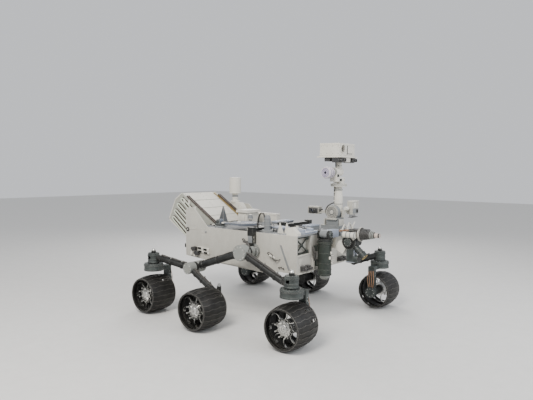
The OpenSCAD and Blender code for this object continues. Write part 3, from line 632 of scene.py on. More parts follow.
for side, name in ((-1, "starboard"), (1, "port")):
    out = Vector((0, side, 0))
    tubes = [((pivot_x, 0.850, pivot_z), (0.890, 0.870, 0.655), 0.044),
             ((0.890, 0.870, 0.655), (front_axle, 1.120, 0.765), 0.044),
             ((pivot_x, 0.850, pivot_z), (bogie_x, 0.850, bogie_z), 0.044),
             ((bogie_x, 0.975, bogie_z), (rear_axle, 1.120, 0.765), 0.042),
             ((bogie_x, 0.975, bogie_z), (-0.116, 0.985, 0.404), 0.042)]
    rings, bolts, cables = [], [], []
    for number, (a, b, r) in enumerate(tubes):
        a, b = Vector((a[0], a[1] * side, a[2])), Vector((b[0], b[1] * side, b[2]))
        along = (b - a).normalized()
        up = (Vector((0, 0, 1)) - along * along.z).normalized()
        across = along.cross(up)
        length = (b - a).length
        marks = [0.135, length * 0.52, length - 0.13] if length > 0.5 else [0.12, length - 0.13]
        if number == 1:
            marks = [0.10, 0.20]
        for m in marks:
            rings.append(clamp_ring(a + along * m, along, r))
            bolts.append(lug_bolt(a + along * m, along, r))
        start, stop = 0.08, length - (0.14 if number in (1, 3) else 0.06)
        for k in (-1, 0, 1):
            points = []
            for i in range(9):
                t = start + (stop - start) * i / 8
                wave = 0.004 * math.sin(i * 1.7 + k)
                points.append(a + along * t + up * (r + 0.006 + wave) + across * (k * 0.013 - side * 0.012))
            cables.append(bent(points, 0.006))
    finished(joined(*rings), "tube_clamps_" + name, black_anodise)
    tips = [spun([(0, 0), (0, 0.026), (0.010, 0.026), (0.018, 0.020), (0.030, 0.016),
                  (0.034, 0.008), (0.034, 0)],
                 (x, side * 1.120, 0.845), (0, 0, 1), 20) for x in (front_axle, rear_axle)]
    tips.append(spun([(0, 0), (0, 0.024), (0.012, 0.024), (0.022, 0.018), (0.030, 0.018),
                      (0.034, 0.010), (0.034, 0)], (-0.036, side * 0.985, 0.489), (0, 0, 1), 20))
    finished(joined(*bolts, *tips), "clamp_bolts_" + name, bright_metal)
    finished(joined(*cables), "suspension_cables_" + name, cable_black)

    # Pivot covers: shallow spun caps, sprayed grey, held by a ring of screws round a flat centre.
    covers, cap_screws = [], []
    for x, z, radius, y_in, y_out in ((pivot_x, pivot_z, 0.100, 0.800, 0.914),
                                      (bogie_x, bogie_z, 0.0775, 0.930, 1.042),
                                      (bogie_x, bogie_z, 0.0775, 0.7535, 0.890),
                                      (pivot_x, pivot_z, 0.0775, 0.678, 0.742),
                                      (pivot_x, pivot_z, 0.0965, 0.6205, 0.646)):
        outline = [(y_in, radius - 0.004), (y_in, radius), (y_out - 0.006, radius), (y_out, radius - 0.006),
                   (y_out, radius * 0.66), (y_out + 0.002, radius * 0.64), (y_out + 0.002, 0)]
        covers.append(spun([(d * side, r) for d, r in outline], (x, 0, z), (0, 1, 0), 48))
        cap_screws += bolt_circle((x, side * y_out, z), out, radius * 0.8, 10)
    finished(joined(*covers), "pivot_covers_" + name, cap_paint)
    fasten(cap_screws, "pivot_cover_screws_" + name, 0.007)

    # Cable loops at the pivots, and a white hose on the side panel, fixed at both ends.
    loops = []
    for k in range(3):
        y = side * (0.76 + 0.012 * k)
        loops.append(bent([(0.17, side * 0.622, 1.02 + 0.012 * k), (0.16, y, 1.06),
                           (0.20, y, 1.075 - 0.012 * k), (0.27, y, 1.045),
                           (0.315, side * 0.80, 0.99 - 0.01 * k), (0.332, side * 0.85, 0.958)], 0.0055))
    loops.append(bent([(0.464, side * 0.608, 0.90), (0.47, side * 0.66, 0.935), (0.53, side * 0.67, 0.95),
                       (0.58, side * 0.66, 0.90), (0.56, side * 0.655, 0.86), (0.60, side * 0.65, 0.835),
                       (0.65, side * 0.608, 0.86)], 0.006))
    loops.append(bent([(0.04, side * 0.622, 1.05), (0.07, side * 0.66, 1.085), (0.13, side * 0.665, 1.07),
                       (0.14, side * 0.655, 1.00), (0.16, side * 0.622, 0.96)], 0.006))
    finished(joined(*loops), "pivot_loops_" + name, cable_black)
    white = [bent([(0.49, side * 0.612, 0.88), (0.50, side * 0.655, 0.90), (0.555, side * 0.66, 0.905),
                   (0.60, side * 0.65, 0.875), (0.585, side * 0.612, 0.85)], 0.011)]
    finished(joined(*white), "pivot_hose_" + name, white_paint)


# ---------------------------------------------------------------- steering
# Each corner wheel hangs from a fork under a motor housing. The housings are anodised grey green
# castings with a bolted cover, cooling grooves and a harness that drops to the drive motor.

# Grey green anodised castings: satin and dark, with lighter corners.
housing_finish = machined("grey_green_anodised_housing", "#4A504E", "#343938", 0.48, 0.4)
dress(housing_finish, *[n for n in nodes if n.startswith("fork_")])
for name in ("front_starboard", "front_port", "rear_starboard", "rear_port"):
    side = -1 if name.endswith("starboard") else 1
    axle = front_axle if name.startswith("front") else rear_axle
    centre = Vector((axle, side * 1.120, 0))
    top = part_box("fork_" + name)[1].z - 0.077
    ring = spun([(top - 0.098, 0.126), (top - 0.098, 0.132), (top - 0.080, 0.132), (top - 0.078, 0.129),
                 (top - 0.040, 0.129),
                 (top - 0.036, 0.132), (top - 0.010, 0.132), (top - 0.004, 0.127), (top - 0.004, 0.120),
                 (top + 0.001, 0.116),
                 (top + 0.001, 0.086), (top - 0.003, 0.084), (top - 0.003, 0.060)], centre, (0, 0, 1), 56)
    rods = hoop(top - 0.030, top - 0.020, 0.131, 0.135, centre, (0, 0, 1), 56)
    leg = -side * 0.215
    ribs = [block((axle + dx - 0.005, min(centre.y + leg, centre.y + leg - side * 0.062), 0.33),
                  (axle + dx + 0.005, max(centre.y + leg, centre.y + leg - side * 0.062), 0.46), 0.002)
            for dx in (-0.051, 0.051)]
    boss = spun([(0.296, 0), (0.296, 0.040), (0.302, 0.046), (0.302, 0.064), (0.294, 0.068), (0.290, 0.076)],
                (axle, centre.y, 0.254), (0, -side, 0), 40)
    finished(joined(ring, rods, boss, *ribs), "fork_shell_" + name, housing_finish, "steering_" + name)
    bolts = bolt_circle((axle, centre.y, top + 0.001), (0, 0, 1), 0.101, 16)
    bolts += bolt_circle((axle, centre.y - side * 0.302, 0.254), (0, -side, 0), 0.055, 8)
    bolts += [facing((axle + 0.048, centre.y - side * 0.244, z), (1, 0, 0)) for z in (0.49, 0.53)]
    fasten(bolts, "fork_bolts_" + name, 0.006, "steering_" + name)
    strands = []
    for k in range(4):
        dx = -0.030 + 0.02 * k
        inner = centre.y - side * (0.280 + 0.003 * k)
        strands.append(bent([(axle + dx, centre.y - side * 0.20, top - 0.06),
                             (axle + dx, centre.y - side * 0.265, top - 0.07),
                             (axle + dx * 1.3, inner, 0.50), (axle + dx * 1.9, inner - side * 0.006, 0.42),
                             (axle + dx * 1.2, inner, 0.355),
                             (axle + dx * 0.9, centre.y - side * 0.27, 0.315)], 0.0045))
    finished(joined(*strands), "fork_harness_" + name, cable_amber, "steering_" + name)

    # The fixed motor housing above: a flanged can with grooves, a clamp band and a connector.
    base = top + 0.008
    can = spun([(base + 0.001, 0.060), (base + 0.001, 0.082), (base + 0.012, 0.084), (base + 0.018, 0.078),
                (base + 0.040, 0.0775),
                (base + 0.043, 0.081), (base + 0.052, 0.081), (base + 0.055, 0.0775), (base + 0.090, 0.0775),
                (base + 0.094, 0.083),
                (base + 0.112, 0.083), (base + 0.116, 0.0775), (base + 0.133, 0.077), (base + 0.137, 0.070),
                (base + 0.137, 0.034)], centre, (0, 0, 1), 48)
    plug = block((axle - 0.02, centre.y + side * 0.070 - 0.012, base + 0.060),
                 (axle + 0.02, centre.y + side * 0.094 + 0.012, base + 0.100), 0.005)
    finished(joined(can, plug), "steering_can_" + name, housing_finish)
    studs = bolt_circle((axle, centre.y, base + 0.137), (0, 0, 1), 0.056, 8)
    fasten(studs, "steering_can_screws_" + name, 0.006)


# ---------------------------------------------------------------- power source
# A finned aluminium case with an emissive grey coating, held between two heat exchanger plates.
# Coolant tubes are brazed to the plates' outer faces, and rails and clips hold their covers.

# High emissivity coating: rough neutral grey.
case_coating = sprayed("emissive_case_coating", "#8E8D87", "#72716B", 0.66)
# Radiator paint: matte, slightly greenish grey.
plate_paint = sprayed("radiator_plate_paint", "#ABACA2", "#95968C", 0.6, 0.06)
dress(case_coating, "power_source")
dress(plate_paint, "heat_plate_starboard", "heat_plate_port")
dress(white_paint, "power_source_cover")
tilt = math.radians(32)             # the case leans this much below level
plate_out = 0.372                   # outer faces of the heat exchanger plates
plate_mid = 0.360
cover_top = Vector((-1.400, 0, 1.613))   # upper edge of the sloping cover
down = Vector((math.cos(tilt), 0, -math.sin(tilt)))
case_mid = Vector((-1.243, 0, 1.213))
bands = [hoop(d - 0.012, d + 0.012, 0.124, 0.131, case_mid, down, 48)
         for d in (-0.27, -0.09, 0.09, 0.27)]
end_cap = spun([(-0.322, 0.086), (-0.334, 0.084), (-0.336, 0.070), (-0.330, 0.066), (-0.330, 0.040),
                (-0.342, 0.036), (-0.342, 0)], case_mid, down, 48)
finished(joined(end_cap, *bands), "case_bands", case_coating)
turn = down.to_track_quat("X", "Z").to_matrix().to_4x4()
studs = []
for i in range(12):
    t = math.tau * i / 12
    studs.append(facing(case_mid + turn @ Vector((-0.3355, 0.076 * math.cos(t), 0.076 * math.sin(t))), -down))
fasten(studs, "case_bolts", 0.007)
pipes = []
for i in range(8):
    t = math.tau * i / 8
    away_from = Vector((0, math.cos(t), math.sin(t)))
    pipes.append(bent([case_mid + turn @ (Vector((d, 0, 0)) + away_from * r) for d, r in
                       ((-0.31, 0.135), (-0.29, 0.150), (-0.10, 0.150), (0.10, 0.150), (0.27, 0.150),
                        (0.30, 0.132))], 0.008))
finished(joined(*pipes), "case_coolant_pipes", bright_metal)

# Painted coolant tube: pale green white, a soft shine.
coolant_green = sprayed("pale_green_coolant_tube", "#D3DACB", "#BCC3B2", 0.4, 0.05)
# Dark brown rail: matte, chipped at its edges.
rail_brown = sprayed("dark_brown_rail", "#453A33", "#322A25", 0.5, 0.1)
# Copper strip: olive brown, uneven; copper in colour, darkened with painted shade of the far plate's edge.
copper_strip = sprayed("olive_copper_strip_painted_shade", "#8C7541", "#6A5A33", 0.45, 0.1)
plate_outline = [(-1.400, 1.613), (-1.540, 1.520), (-1.690, 1.200), (-1.060, 0.806), (-1.060, 0.985)]
for side, name in ((-1, "starboard"), (1, "port")):
    face = side * plate_out
    out = (0, side, 0)
    pipes, beds = [], []
    run = Vector((0.80, 0, -0.60))
    across = Vector((0.60, 0, 0.80)) * 0.026
    for x, z, length in ((-1.612, 1.255, 0.60), (-1.566, 1.362, 0.62), (-1.500, 1.462, 0.56),
                         (-1.418, 1.548, 0.50)):
        start = Vector((x + 0.03, face, z - 0.022))
        end = start + run * min(length, (-1.115 - start.x) / run.x)
        loop = [end + across, start + across + run * 0.05, start + across * 0.95 + run * 0.012,
                start - run * 0.012,
                start - across * 0.95 + run * 0.012, start - across + run * 0.05, end - across]
        pipes.append(bent([p + Vector((0, side * 0.012, 0)) for p in loop], 0.0125))
        beds.append(bent([p + Vector((0, side * 0.001, 0)) for p in loop], 0.0195))
    finished(joined(*pipes), "coolant_loops_" + name, coolant_green)
    finished(joined(*beds), "coolant_loop_beds_" + name, rail_brown)
    rims = []
    for a, b in zip(plate_outline, plate_outline[1:]):
        a, b = Vector((a[0], face, a[1])), Vector((b[0], face, b[1]))
        along = (b - a).normalized()
        inward = Vector((-along.z, 0, along.x))
        if (inward.dot(Vector((-1.30, face, 1.25)) - a)) < 0:
            inward = -inward
        rims.append(plate([a, b, b + inward * 0.016, a + inward * 0.016], (0, side * 0.006, 0), 0.001))
    finished(joined(*rims), "plate_edges_" + name, white_paint)
    clips = []
    for x, z in ((-1.326, 1.494), (-1.222, 1.478), (-1.09, 1.385)):
        clips.append(block((x - 0.014, face - (0.022 if side < 0 else 0), z - 0.034),
                           (x + 0.014, face + (0.022 if side > 0 else 0), z + 0.034), 0.004))
    finished(joined(*clips), "plate_clips_" + name, white_paint)
    slope = Vector((0.848, 0, -0.530))
    normal = Vector((0.530, 0, 0.848))
    rails = []
    for k, width in ((-0.030, 0.014), (0.004, 0.014)):
        a = Vector((-1.33, side * plate_mid, 1.567)) + Vector((0, side * k,
                                                               0)) + normal * 0.010 + slope * 0.02
        b = a + slope * 0.69
        rails.append(plate([a, a + Vector((0, width, 0)), a + Vector((0, width, 0)) + normal * 0.022,
                            a + normal * 0.022], b - a, 0.002))
    finished(joined(*rails), "plate_rails_" + name, rail_brown)
    a = Vector((-1.31, side * plate_mid - 0.006 - side * 0.010, 1.555)) + normal * 0.010
    white_line = plate([a, a + Vector((0, 0.010, 0)), a + Vector((0, 0.010, 0)) + normal * 0.014,
                        a + normal * 0.014], slope * 0.66, 0.001)
    finished(white_line, "plate_rail_liner_" + name, white_paint)
    holes = [facing((x, face, z), out) for x, z in ((-1.55, 1.19), (-1.42, 1.11), (-1.30, 1.03),
                                                    (-1.18, 0.955), (-1.60, 1.31),
                                                    (-1.53, 1.44), (-1.46, 1.53), (-1.36, 1.56),
                                                    (-1.09, 0.88))]
    fasten(holes, "plate_screws_" + name, 0.008)
# The strip stands in for the far heat exchanger plate's shaded edge: copper colour with painted shade.
a = cover_top + Vector((0, 0.290, 0)) + slope * 0.03
strip = plate([a, a + Vector((0, 0.045, 0)), a + Vector((0, 0.045, 0)) + normal * 0.010, a + normal * 0.010],
              slope * 0.70, 0.002)
finished(strip, "cover_strip", copper_strip)
seams = []
for d in (0.20, 0.40, 0.60):
    a = cover_top + Vector((0, -0.340, 0)) + slope * d
    seams.append(plate([a, a + slope * 0.012, a + slope * 0.012 + normal * 0.003, a + normal * 0.003],
                       (0, 0.62, 0)))
finished(joined(*seams), "cover_seams", plate_paint)
places = [facing(cover_top + Vector((0, y, 0)) + slope * d, normal) for y in (-0.325, 0.0, 0.275)
          for d in (0.04, 0.12, 0.19, 0.27, 0.35, 0.43, 0.51, 0.59, 0.67, 0.74)]
fasten(places, "cover_screws", 0.006)


# ---------------------------------------------------------------- deck
# The deck plate is a machined panel in mid grey. Boxes, a calibration target, a short antenna and
# a folded sun shade are screwed to it, and flat harnesses are tied down between them.

# Deck paint: mid grey, matte, with faint dust.
deck_paint = sprayed("mid_grey_deck_paint", "#7D8082", "#65686A", 0.6)
# Folded shade cloth: dark grey, very matte.
shade_grey = sprayed("dark_folded_shade_fabric", "#55595C", "#404447", 0.75)
# Instrument box paint: grey and satin, with a cool blue tint that is a painted reflection of the sky.
box_paint_sky_tinted = sprayed("grey_box_paint_painted_sky_reflection", "#9AA2AF", "#838B99", 0.5, 0.08)
dress(deck_paint, "top_deck", "deck_instruments")
dress(white_paint, "port_equipment_box", "deck_shades", "uhf_antenna")
# The sample inlets' blue grey holds a painted sky reflection in its blue tint.
dress(box_paint_sky_tinted, "sample_inlets")
lids, feet, plugs = [], [], []
for x0, y0, x1, y1, top in ((0.350, -0.400, 0.530, -0.250, 1.226), (0.570, 0.0, 0.690, 0.240, 1.230),
                            (0.0, 0.060, 0.130, 0.420, 1.240), (-0.688, -0.320, -0.590, -0.200, 1.210)):
    lids.append(block((x0 - 0.005, y0 - 0.005, top - 0.010), (x1 + 0.005, y1 + 0.005, top + 0.006), 0.003))
    lids.append(block((x0 + 0.02, y0 + 0.02, top + 0.004), (x1 - 0.02, y1 - 0.02, top + 0.012), 0.003))
    feet += [block((x - 0.012, y - 0.012, deck), (x + 0.012, y + 0.012, deck + 0.012), 0.003)
             for x in (x0 - 0.012, x1 + 0.012) for y in (y0 + 0.02, y1 - 0.02)]
    plugs += [spun([(0, 0), (0, 0.012), (0.012, 0.012), (0.016, 0.015), (0.024, 0.015), (0.030, 0.010),
                    (0.034, 0.006), (0.034, 0)],
                   (x, y0, deck + 0.026), (0, -1, 0), 16) for x in (x0 + 0.03, x0 + 0.075)]
finished(joined(*lids), "box_lids", box_paint_sky_tinted)
finished(joined(*feet), "box_feet", deck_paint)
finished(joined(*plugs), "box_connectors", bright_metal)
folds = []
for a, b in (((-0.688, -0.309), (-0.590, -0.309)), ((-0.590, -0.309), (-0.590, -0.211)),
             ((-0.590, -0.211), (-0.688, -0.211)), ((-0.688, -0.211), (-0.688, -0.309))):
    peak = Vector((-0.639, -0.260, deck + 0.276))
    folds.append(plate([(a[0], a[1], deck + 0.036), (b[0], b[1], deck + 0.036), peak],
                       ((a[0] + b[0] + 1.278) * 0.06, (a[1] + b[1] + 0.520) * 0.06, 0.0)))
finished(joined(*folds), "folded_shade", shade_grey)

bottle = Vector((0.355, -0.495, 0))
rings = [hoop(z, z + 0.010, 0.040, 0.046, bottle, (0, 0, 1), 40)
         for z in (1.196, 1.25, 1.31, 1.345)]
crown_ring = spun([(1.384, 0.029), (1.384, 0.022), (1.392, 0.020), (1.392, 0)], bottle, (0, 0, 1), 32)
base_ring = spun([(1.170, 0.076), (1.178, 0.076), (1.180, 0.072), (1.198, 0.072), (1.200, 0.050)], bottle,
                 (0, 0, 1), 40)
finished(joined(crown_ring, base_ring, *rings), "bottle_rings", grey_paint)
loops = [bent([(0.20, -0.50 + k, 1.18), (0.195, -0.50 + k, 1.25), (0.21, -0.50 + k, 1.37),
               (0.25, -0.50 + k, 1.415),
               (0.30, -0.50 + k, 1.41), (0.315, -0.50 + k, 1.36), (0.335, -0.52 + k, 1.30)], 0.007)
         for k in (-0.008, 0.008)]
for path in ([(0.46, -0.33), (0.38, -0.35), (0.34, -0.42), (0.355, -0.47)],
             [(-0.58, -0.20), (-0.50, -0.12), (-0.30, -0.10), (-0.14, -0.12)],
             [(0.06, 0.10), (0.13, 0.02), (0.30, 0.0), (0.50, 0.05)],
             [(0.06, 0.30), (0.20, 0.30), (0.34, 0.22), (0.50, 0.18)],
             [(-0.30, 0.50), (-0.20, 0.44), (-0.12, 0.36), (-0.07, 0.32)],
             [(0.50, 0.20), (0.52, 0.30), (0.55, 0.38), (0.56, 0.43)],
             [(-0.40, 0.02), (-0.34, 0.10), (-0.20, 0.20), (-0.07, 0.22)],
             [(0.24, -0.25), (0.22, -0.10), (0.30, 0.10), (0.50, 0.12)],
             [(-0.85, 0.20), (-0.75, 0.0), (-0.60, -0.08), (-0.30, -0.06), (-0.14, -0.10)],
             [(-0.80, -0.35), (-0.70, -0.40), (-0.62, -0.42), (-0.60, -0.47)]):
    for k in (-0.010, 0.004):
        loops.append(bent([Vector((x + k, y + k, 1.177)) for x, y in path], 0.0065))
finished(joined(*loops), "deck_harness", cable_black)
ties = [block((x - 0.018, y - 0.018, deck), (x + 0.018, y + 0.018, deck + 0.017), 0.004)
        for x, y in ((0.35, -0.41), (-0.50, -0.12), (-0.30, -0.09), (0.13, 0.02), (0.30, 0.0),
                     (0.20, 0.30), (0.34, 0.22),
                     (-0.20, 0.44), (-0.20, 0.20), (0.22, -0.10), (-0.60, -0.08), (-0.75, 0.0),
                     (-0.70, -0.40))]
finished(joined(*ties), "harness_ties", white_paint)

# Calibration target and the short antenna's cap, both turned and screwed to the deck.
target = spun([(deck + 0.018, 0.056), (deck + 0.022, 0.056), (deck + 0.022, 0.048), (deck + 0.019, 0.046),
               (deck + 0.019, 0.042),
               (deck + 0.023, 0.040), (deck + 0.023, 0.030)], (-0.010, -0.120, 0), (0, 0, 1), 40)
cap = spun([(1.240, 0.026), (1.256, 0.044), (1.262, 0.044), (1.262, 0.041)], (-0.360, 0.020, 0),
           (0, 0, 1), 40)
top_cap = spun([(1.318, 0.027), (1.325, 0.024), (1.328, 0.012), (1.328, 0)], (-0.360, 0.020, 0),
               (0, 0, 1), 40)
finished(joined(target, cap, top_cap), "deck_turned_caps", white_paint)

# Round covers over the sample inlets: hinged lids with a lever and a gasket ring each.
lid_shapes, levers = [], []
for x, y in ((0.780, -0.340), (0.670, -0.240), (0.780, -0.140)):
    lid_shapes.append(spun([(1.217, 0.047), (1.222, 0.044), (1.226, 0.030), (1.222, 0.026), (1.222, 0.012),
                            (1.230, 0.010), (1.230, 0)], (x, y, 0), (0, 0, 1), 36))
    lid_shapes.append(hoop(1.190, 1.198, 0.046, 0.052, (x, y, 0), (0, 0, 1), 36))
    levers.append(block((x - 0.075, y - 0.008, 1.222), (x + 0.010, y + 0.008, 1.232), 0.003))
    levers.append(hoop(-0.016, 0.016, 0, 0.008, (x - 0.070, y, 1.224), (0, 1, 0), 12))
finished(joined(*lid_shapes), "inlet_lids", box_paint_sky_tinted)
finished(joined(*levers), "inlet_levers", bright_metal)
places = [facing((x, y, 1.192), (0, 0, 1)) for x in (0.595, 0.855) for y in (-0.39, -0.30, -0.18, -0.08)]
places += [facing((x, y, 1.310), (0, 0, 1)) for x in (-0.655, -0.53, -0.39, -0.245) for y in (0.503, 0.567)]
places += [facing((x, y, 1.375), (0, 0, 1)) for x in (-0.640, -0.450) for y in (0.06, 0.195, 0.33)]
fasten(places, "deck_box_screws", 0.006)
lips = [block((-0.675, 0.485, 1.285), (-0.225, 0.585, 1.293), 0.002),
        block((-0.662, 0.035, 1.338), (-0.428, 0.355, 1.344), 0.002),
        block((-0.60, 0.045, 1.20), (-0.50, 0.062, 1.30), 0.004),
        block((-0.49, 0.484, 1.20), (-0.35, 0.492, 1.27), 0.003)]
finished(joined(*lips), "deck_box_lips", white_paint)

# Cylinder antenna: a moulded radome over its coil, on a turned neck and a welded stand.
uhf = Vector((-1.015, 0.425, 0))
rings = [hoop(z, z + h, r - 0.003, r + 0.003, uhf, (0, 0, 1), 48)
         for z, r, h in ((1.600, 0.092, 0.014), (1.690, 0.0925, 0.004), (1.765, 0.0925, 0.004),
                         (1.834, 0.092, 0.014))]
dome = spun([(1.848, 0.090), (1.853, 0.080), (1.856, 0.040), (1.856, 0)], uhf, (0, 0, 1), 48)
flange = spun([(1.470, 0.066), (1.474, 0.072), (1.482, 0.072), (1.484, 0.050), (1.492, 0.046)], uhf,
              (0, 0, 1), 48)
neck = [hoop(z, z + 0.012, 0.043, 0.049, uhf, (0, 0, 1), 40) for z in (1.52, 1.578)]
finished(joined(dome, flange, *rings, *neck), "uhf_rings", white_paint)
dark_band = spun([(1.540, 0.0435), (1.541, 0.0455), (1.570, 0.0455), (1.571, 0.0435)], uhf, (0, 0, 1), 40)
finished(dark_band, "uhf_neck_band", grey_paint)
places = bolt_circle(uhf + Vector((0, 0, 1.482)), (0, 0, 1), 0.060, 8)
places += [facing((x, 0.377, z), (0, -1, 0)) for x, z in ((-0.90, 1.40), (-0.95, 1.30), (-0.85, 1.36),
                                                          (-0.86, 1.22), (-0.76, 1.22), (-0.79, 1.30))]
fasten(places, "uhf_screws", 0.006)

# Differential: the bar's centre bearing cover, end caps, and rod ends of the two links.
dress(grey_paint, "differential_links")
centre_cap = spun([(1.243, 0.066), (1.250, 0.066), (1.254, 0.060), (1.254, 0.036), (1.260, 0.030),
                   (1.260, 0)], (0.230, 0, 0), (0, 0, 1), 48)
ends = []
for side in (-1, 1):
    ends.append(block((0.184, side * 0.664 - 0.040, 1.2335), (0.276, side * 0.664 + 0.040, 1.240), 0.002))
    ends.append(hoop(-0.046, 0.046, 0, 0.020, (0.230, side * 0.664, 1.150), (1, 0, 0), 24))
finished(joined(centre_cap, *ends), "differential_caps", black_anodise)
eyes = []
for side in (-1, 1):
    y = side * (0.672 if side < 0 else 0.666)
    for z in (1.060, 1.108):
        eyes.append(spun([(-0.040, 0), (-0.040, 0.013), (-0.034, 0.013), (-0.034, 0.024), (0.034, 0.024),
                          (0.034, 0.013), (0.040, 0.013), (0.040, 0)], (0.230, y, z), (1, 0, 0), 20))
bolts = copied(screw(0.007), bolt_circle((0.230, 0, 1.254), (0, 0, 1), 0.048, 8))
square = block((0.176, -0.695, 1.195), (0.186, -0.640, 1.236), 0.003)
finished(joined(bolts, *eyes), "differential_pins", bright_metal)
finished(square, "differential_marker", white_paint)


# ---------------------------------------------------------------- hazard cameras
# Small black machined cameras with a turned sunshade and a domed wide lens, four on the front and
# two on each rear side, each screwed to a small bracket.

glass = bpy.data.materials.new("dark_lens_glass")     # coated glass: near black, with a blue violet bloom
glass.use_nodes = True
tree = glass.node_tree
shader = tree.nodes["Principled BSDF"]
shader.inputs["Coat Weight"].default_value = 1.0
shader.inputs["Coat Roughness"].default_value = 0.03
place = add_node(tree, "TexCoord", {}).outputs["Object"]
bloom = add_node(tree, "TexNoise", {"Vector": place, "Scale": 30.0, "Detail": 2.0})
tone = add_node(tree, "ValToRGB", {"Fac": bloom.outputs["Fac"]})
tone.color_ramp.elements[0].color = linear("#0B0C12")
tone.color_ramp.elements[1].color = linear("#252B47")
tree.links.new(tone.outputs["Color"], shader.inputs["Base Color"])
sheen = add_node(tree, "MapRange", {"Value": bloom.outputs["Fac"], "To Min": 0.04, "To Max": 0.12})
tree.links.new(sheen.outputs["Result"], shader.inputs["Roughness"])

# Camera paint: flat black, a little grey on the corners.
camera_black = sprayed("black_camera_paint", "#3A3B3C", "#28292A", 0.5, 0.05)
dress(camera_black, "hazard_cameras", "mast_cameras")


def lens_barrel(place, out, radius):
    """A turned barrel with a raised ring and an open hood in front of the glass."""
    return spun([(-0.002, radius), (0.004, radius + 0.003), (0.010, radius + 0.003), (0.012, radius),
                 (0.026, radius),
                 (0.028, radius + 0.002), (0.032, radius + 0.002), (0.032, radius - 0.003),
                 (0.016, radius - 0.004),
                 (0.012, radius - 0.008), (-0.002, radius - 0.008)], place, out, 28)


def lens_glass(place, out, radius):
    """A domed front element."""
    return spun([(0.0, radius), (0.004, radius * 0.85), (0.007, radius * 0.5), (0.008, 0)], place, out, 28)


lens_z, lens_x, lens_y = 0.762, 0.972, 0.650     # front lenses, and the rear lenses' distance from the middle
barrels, fronts, plates = [], [], []
for y in (-0.500, -0.400, 0.400, 0.500):
    barrels.append(lens_barrel((lens_x - 0.0185, y, lens_z), (1, 0, 0), 0.0195))
    fronts.append(lens_glass((lens_x, y, lens_z), (1, 0, 0), 0.0125))
    plates.append(block((front, y - 0.036, 0.728), (front + 0.014, y + 0.036, 0.796), 0.003))
    plates.append(block((front + 0.004, y - 0.034, 0.786), (front + 0.052, y + 0.034, 0.793), 0.002))
for side in (-1, 1):
    for x, z in ((-0.8575, 0.850), (-0.7975, 0.790)):
        barrels.append(lens_barrel((x, side * lens_y, z), (-1, 0, 0), 0.0195))
        fronts.append(lens_glass((x - 0.0185, side * lens_y, z), (-1, 0, 0), 0.0125))
        plates.append(block((x + 0.012, side * lens_y - 0.034, z - 0.030),
                            (x + 0.020, side * lens_y + 0.034, z + 0.030), 0.002))
finished(joined(*barrels, *plates), "hazard_camera_barrels", camera_black)
finished(joined(*fronts), "hazard_camera_lenses", glass)


# ---------------------------------------------------------------- high gain antenna
# A flat hexagonal array: etched patches under a dark grey coating, in a riveted frame, on a boom
# that turns in a two-axis gimbal.

# Array coating: dark blue grey, with a faint grid of etched patches 24 mm apart.
array_face = sprayed("patched_array_coating", "#646B77", "#4D5460", 0.45, 0.08)
tree = array_face.node_tree
place = add_node(tree, "TexCoord", {}).outputs["Object"]
patches = add_node(tree, "TexBrick", {"Vector": place, "Scale": 1.0, "Mortar Size": 0.0022,
                                      "Brick Width": 0.024,
                                      "Row Height": 0.024, "Mortar Smooth": 0.1}, offset=0.0)
relief = add_node(tree, "Bump", {"Height": patches.outputs["Fac"], "Strength": 0.6, "Distance": 0.002})
relief.invert = True
tree.links.new(relief.outputs["Normal"], tree.nodes["Principled BSDF"].inputs["Normal"])
dress(array_face, "high_gain_antenna")
dress(grey_paint, "antenna_base", "antenna_yoke")
dish = Vector((-0.050, -0.480, 0))
corners = [dish + 0.2015 * Vector((math.cos(math.radians(a)), math.sin(math.radians(a)), 0))
           for a in range(0, 360, 60)]
edges = []
for a, b in zip(corners, corners[1:] + corners[:1]):
    inward = (dish - (a + b) / 2).normalized()
    level_a, level_b = a + Vector((0, 0, 1.262)), b + Vector((0, 0, 1.262))
    edges.append(plate([level_a, level_b, level_b + inward * 0.012 + (level_a - level_b).normalized() * 0.007,
                        level_a + inward * 0.012 + (level_b - level_a).normalized() * 0.007],
                       (0, 0, 0.005), 0.001))
clamps = [block((-0.160, -0.505, 1.240), (-0.125, -0.455, 1.272), 0.004),
          block((-0.440, -0.512, 1.222), (-0.400, -0.448, 1.245), 0.004)]
finished(joined(*edges), "antenna_frame", grey_paint, "antenna")
finished(joined(*clamps), "antenna_clamps", white_paint, "antenna")
rivets = []
for a, b in zip(corners, corners[1:] + corners[:1]):
    for p in spaced(a.lerp(b, 0.1), a.lerp(b, 0.9), 0.035):
        rivets.append(facing(p.lerp(dish, 0.035) + Vector((0, 0, 1.267)), (0, 0, 1)))
fasten(rivets, "antenna_rivets", 0.004, "antenna")
gimbal = Vector((-0.490, -0.480, 0))
hubs = [spun([(d, 0), (d, 0.027), (d + s * 0.010, 0.027), (d + s * 0.014, 0.020), (d + s * 0.014, 0.010),
              (d + s * 0.018, 0.008), (d + s * 0.018, 0)],
             gimbal + Vector((0, 0, 1.255)), (0, 1, 0), 32) for d, s in ((-0.052, -1), (0.052, 1))]
collar = spun([(1.203, 0.066), (1.203, 0.071), (1.216, 0.071), (1.219, 0.066), (1.219, 0.060)], gimbal,
              (0, 0, 1), 40)
finished(joined(collar, *hubs), "gimbal_hubs", housing_finish, "antenna_azimuth")
foot = spun([(1.171, 0.0755), (1.180, 0.0755), (1.184, 0.072), (1.184, 0.060)], gimbal, (0, 0, 1), 40)
finished(foot, "gimbal_foot_ring", grey_paint)
places = bolt_circle(gimbal + Vector((0, 0, 1.184)), (0, 0, 1), 0.069, 8)
fasten(places, "gimbal_foot_screws", 0.0055)


# ---------------------------------------------------------------- arm
# A five-joint arm of anodised tubes between gear housings, stowed across the front. Collars with
# bolt rings close each joint, and ribbon cables are clamped along the tubes.

